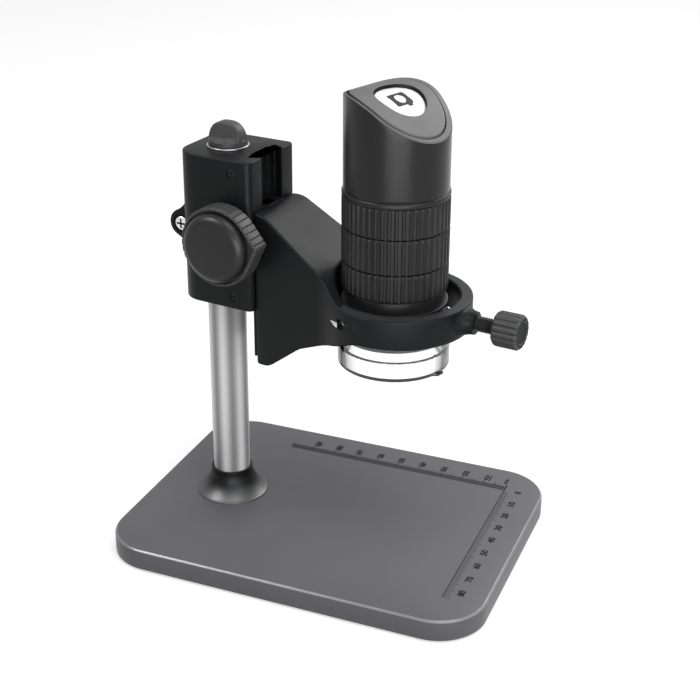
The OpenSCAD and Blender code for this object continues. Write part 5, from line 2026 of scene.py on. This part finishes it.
        # Painted shade: the tip's bottom band gets the dark rim finish.
        low = face_values(tip.data, WORLD)[0][:, 2] < levels("clear_tip")[0] + self.rim_h
        second_finish(tip, TIP_RIM_SHADE, low)
        for node, finish, bevel in (("leds", LAMP_RESIN, 0.3), ("led_board", BOARD_MASK, 0.1),
                                    ("lens", COATED_LENS, 0.0), ("lens_cell", BLACK_MOULDING, 0.3),
                                    ("cable_socket", MACHINED_STEEL, 0.1)):
            dresser.soften_node(node, Body.SCOPE, finish, bevel)
        for node, finish in (("chassis_tube", BLACK_MOULDING), ("button_switch", BLACK_MOULDING),
                             ("button_board", BOARD_MASK), ("main_board", BOARD_MASK),
                             ("image_sensor", SENSOR_GLASS)):
            dresser.coat_node(node, finish)


# Studio


@dataclass
class Studio:
    """The floor, the lamps, the white surroundings and the camera."""

    eye: tuple[float, float, float] = (0.19413, -0.47317, 0.32224)
    look: tuple[float, float, float] = (-0.363262, 0.851643, -0.377817)
    roll_deg: float = -0.268
    focal_px: float = 1405.1
    frame_px: float = 700.0
    sensor_mm: float = 36.0
    shift_x: float = 0.05
    shift_y: float = -0.1
    clip: tuple[float, float] = (0.01, 50.0)
    floor_half: float = 6.0
    floor_grey: float = 0.6
    floor_glow: float = 0.56
    sky_low: float = 0.25
    sky_high: float = 0.75

    def camera(self) -> None:
        """Makes the camera at the photograph's place and angle."""
        data = bpy.data.cameras.new("camera")
        data.sensor_width = self.sensor_mm
        data.lens = self.focal_px * self.sensor_mm / self.frame_px
        data.shift_x, data.shift_y = self.shift_x, self.shift_y
        data.clip_start, data.clip_end = self.clip
        roll = Matrix.Rotation(math.radians(self.roll_deg), 3, "Z").to_quaternion()
        made = linked("camera", data)
        made.location = self.eye
        made.rotation_mode = "QUATERNION"
        made.rotation_quaternion = Vector(self.look).to_track_quat("-Z", "Y") @ roll
        bpy.context.scene.camera = made

    def floor(self) -> None:
        """Makes the pale floor, which shows white to the camera and keeps the object's shadow."""
        mesh = bpy.data.meshes.new("floor")
        half = self.floor_half
        mesh.from_pydata(level(rectangle(-half, -half, half, half), 0).tolist(), [], [[0, 1, 2, 3]])
        made = linked("floor", mesh)
        material = bpy.data.materials.new("floor_white")
        material.use_nodes = True
        tree = material.node_tree
        tree.nodes.clear()
        paint = add_node(tree, "BsdfDiffuse", {"Color": (*[self.floor_grey] * 3, 1)})
        strength = calculated(tree, "MULTIPLY", self.seen_by_eye(tree), self.floor_glow)
        glow = add_node(tree, "Emission", {"Strength": strength})
        both = add_node(tree, "AddShader", {0: paint.outputs[0], 1: glow.outputs[0]})
        add_node(tree, "OutputMaterial", {"Surface": both.outputs[0]})
        mesh.materials.append(material)

    @staticmethod
    def seen_by_eye(tree: Tree) -> Socket:
        """Gives 1 for rays from the camera and those seen in gloss or through glass, else 0.

        Args:
            tree: The nodes to add to.

        Returns:
            The output that carries the value.
        """
        path = add_node(tree, "LightPath")
        total = path.outputs["Is Camera Ray"]
        for name in ("Is Glossy Ray", "Is Transmission Ray"):
            total = calculated(tree, "MAXIMUM", total, path.outputs[name])
        return total

    def world(self) -> None:
        """Surrounds the object with a soft light, stronger from above, and seen as white."""
        world = bpy.data.worlds.new("surroundings")
        world.use_nodes = True
        tree = world.node_tree
        tree.nodes.clear()
        place = add_node(tree, "TexCoord").outputs["Generated"]
        height = add_node(tree, "SeparateXYZ", {0: place}).outputs["Z"]
        rise = {"Value": height, "To Min": self.sky_low, "To Max": self.sky_high}
        glow = add_node(tree, "MapRange", rise).outputs["Result"]
        back = add_node(tree, "Background",
                        {"Strength": calculated(tree, "MAXIMUM", glow, self.seen_by_eye(tree))})
        add_node(tree, "OutputWorld", {"Surface": back.outputs[0]})
        bpy.context.scene.world = world

    def lamp(self, name: str, place: tuple, aim: tuple, size: float, power: float) -> Object:
        """Adds a square area lamp.

        Args:
            name: The lamp's name.
            place: Where it stands, in metres.
            aim: The point that it faces.
            size: Its side.
            power: Its power in watts.

        Returns:
            The lamp.
        """
        data = bpy.data.lights.new(name, "AREA")
        data.size, data.energy = size, power
        made = linked(name, data)
        made.visible_camera = False
        made.location = place
        made.rotation_mode = "QUATERNION"
        made.rotation_quaternion = (Vector(aim) - Vector(place)).to_track_quat("-Z", "Y")
        return made

    def strip(self, name: str, place: tuple, aim: tuple, wide: float, tall: float, power: float) -> None:
        """Adds a wide strip lamp that shows in gloss and gives no other light.

        Args:
            name: The lamp's name.
            place: Where it stands, in metres.
            aim: The point that it faces.
            wide: Its width.
            tall: Its height.
            power: Its power in watts.
        """
        made = self.lamp(name, place, aim, wide, power)
        made.data.shape, made.data.size_y = "RECTANGLE", tall
        made.visible_diffuse = False

    def build(self) -> None:
        """Builds the studio."""
        bpy.context.scene.view_settings.view_transform = "Standard"
        self.camera()
        self.floor()
        self.world()
        centre = (0, 0, 0.1)
        self.lamp("key", (0.35, -0.35, 1.2), centre, 0.8, 7.5)
        self.strip("front", (0.25, -0.55, 0.13), (0.03, -0.01, 0.13), 0.5, 0.24, 3.0)
        self.strip("slope", (0.37, 0.7, 0.62), (0.0, 0.0, 0.13), 0.4, 0.4, 4.0)
        self.strip("knob", (-0.56, -0.5, 0.77), (-0.05, -0.03, 0.13), 0.35, 0.35, 6.0)
        self.lamp("fill", (0.75, -0.45, 0.45), centre, 0.5, 2.5)
        self.lamp("rim", (0.1, 0.95, 0.85), centre, 0.8, 2.2)


def main() -> None:
    """Builds every sub-assembly and the studio."""
    logging.basicConfig(level=logging.INFO, format="%(name)s: %(message)s")
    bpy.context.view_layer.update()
    dresser = Dresser()
    for part in (Base(), Head(), FocusDrive(), Arm(), ThumbScrew(), Microscope()):
        part.build(dresser)
        LOG.info("%s is done", type(part).__name__)
    Studio().build()
    LOG.info("%d new pieces", dresser.count)


if __name__ == "__main__":
    main()
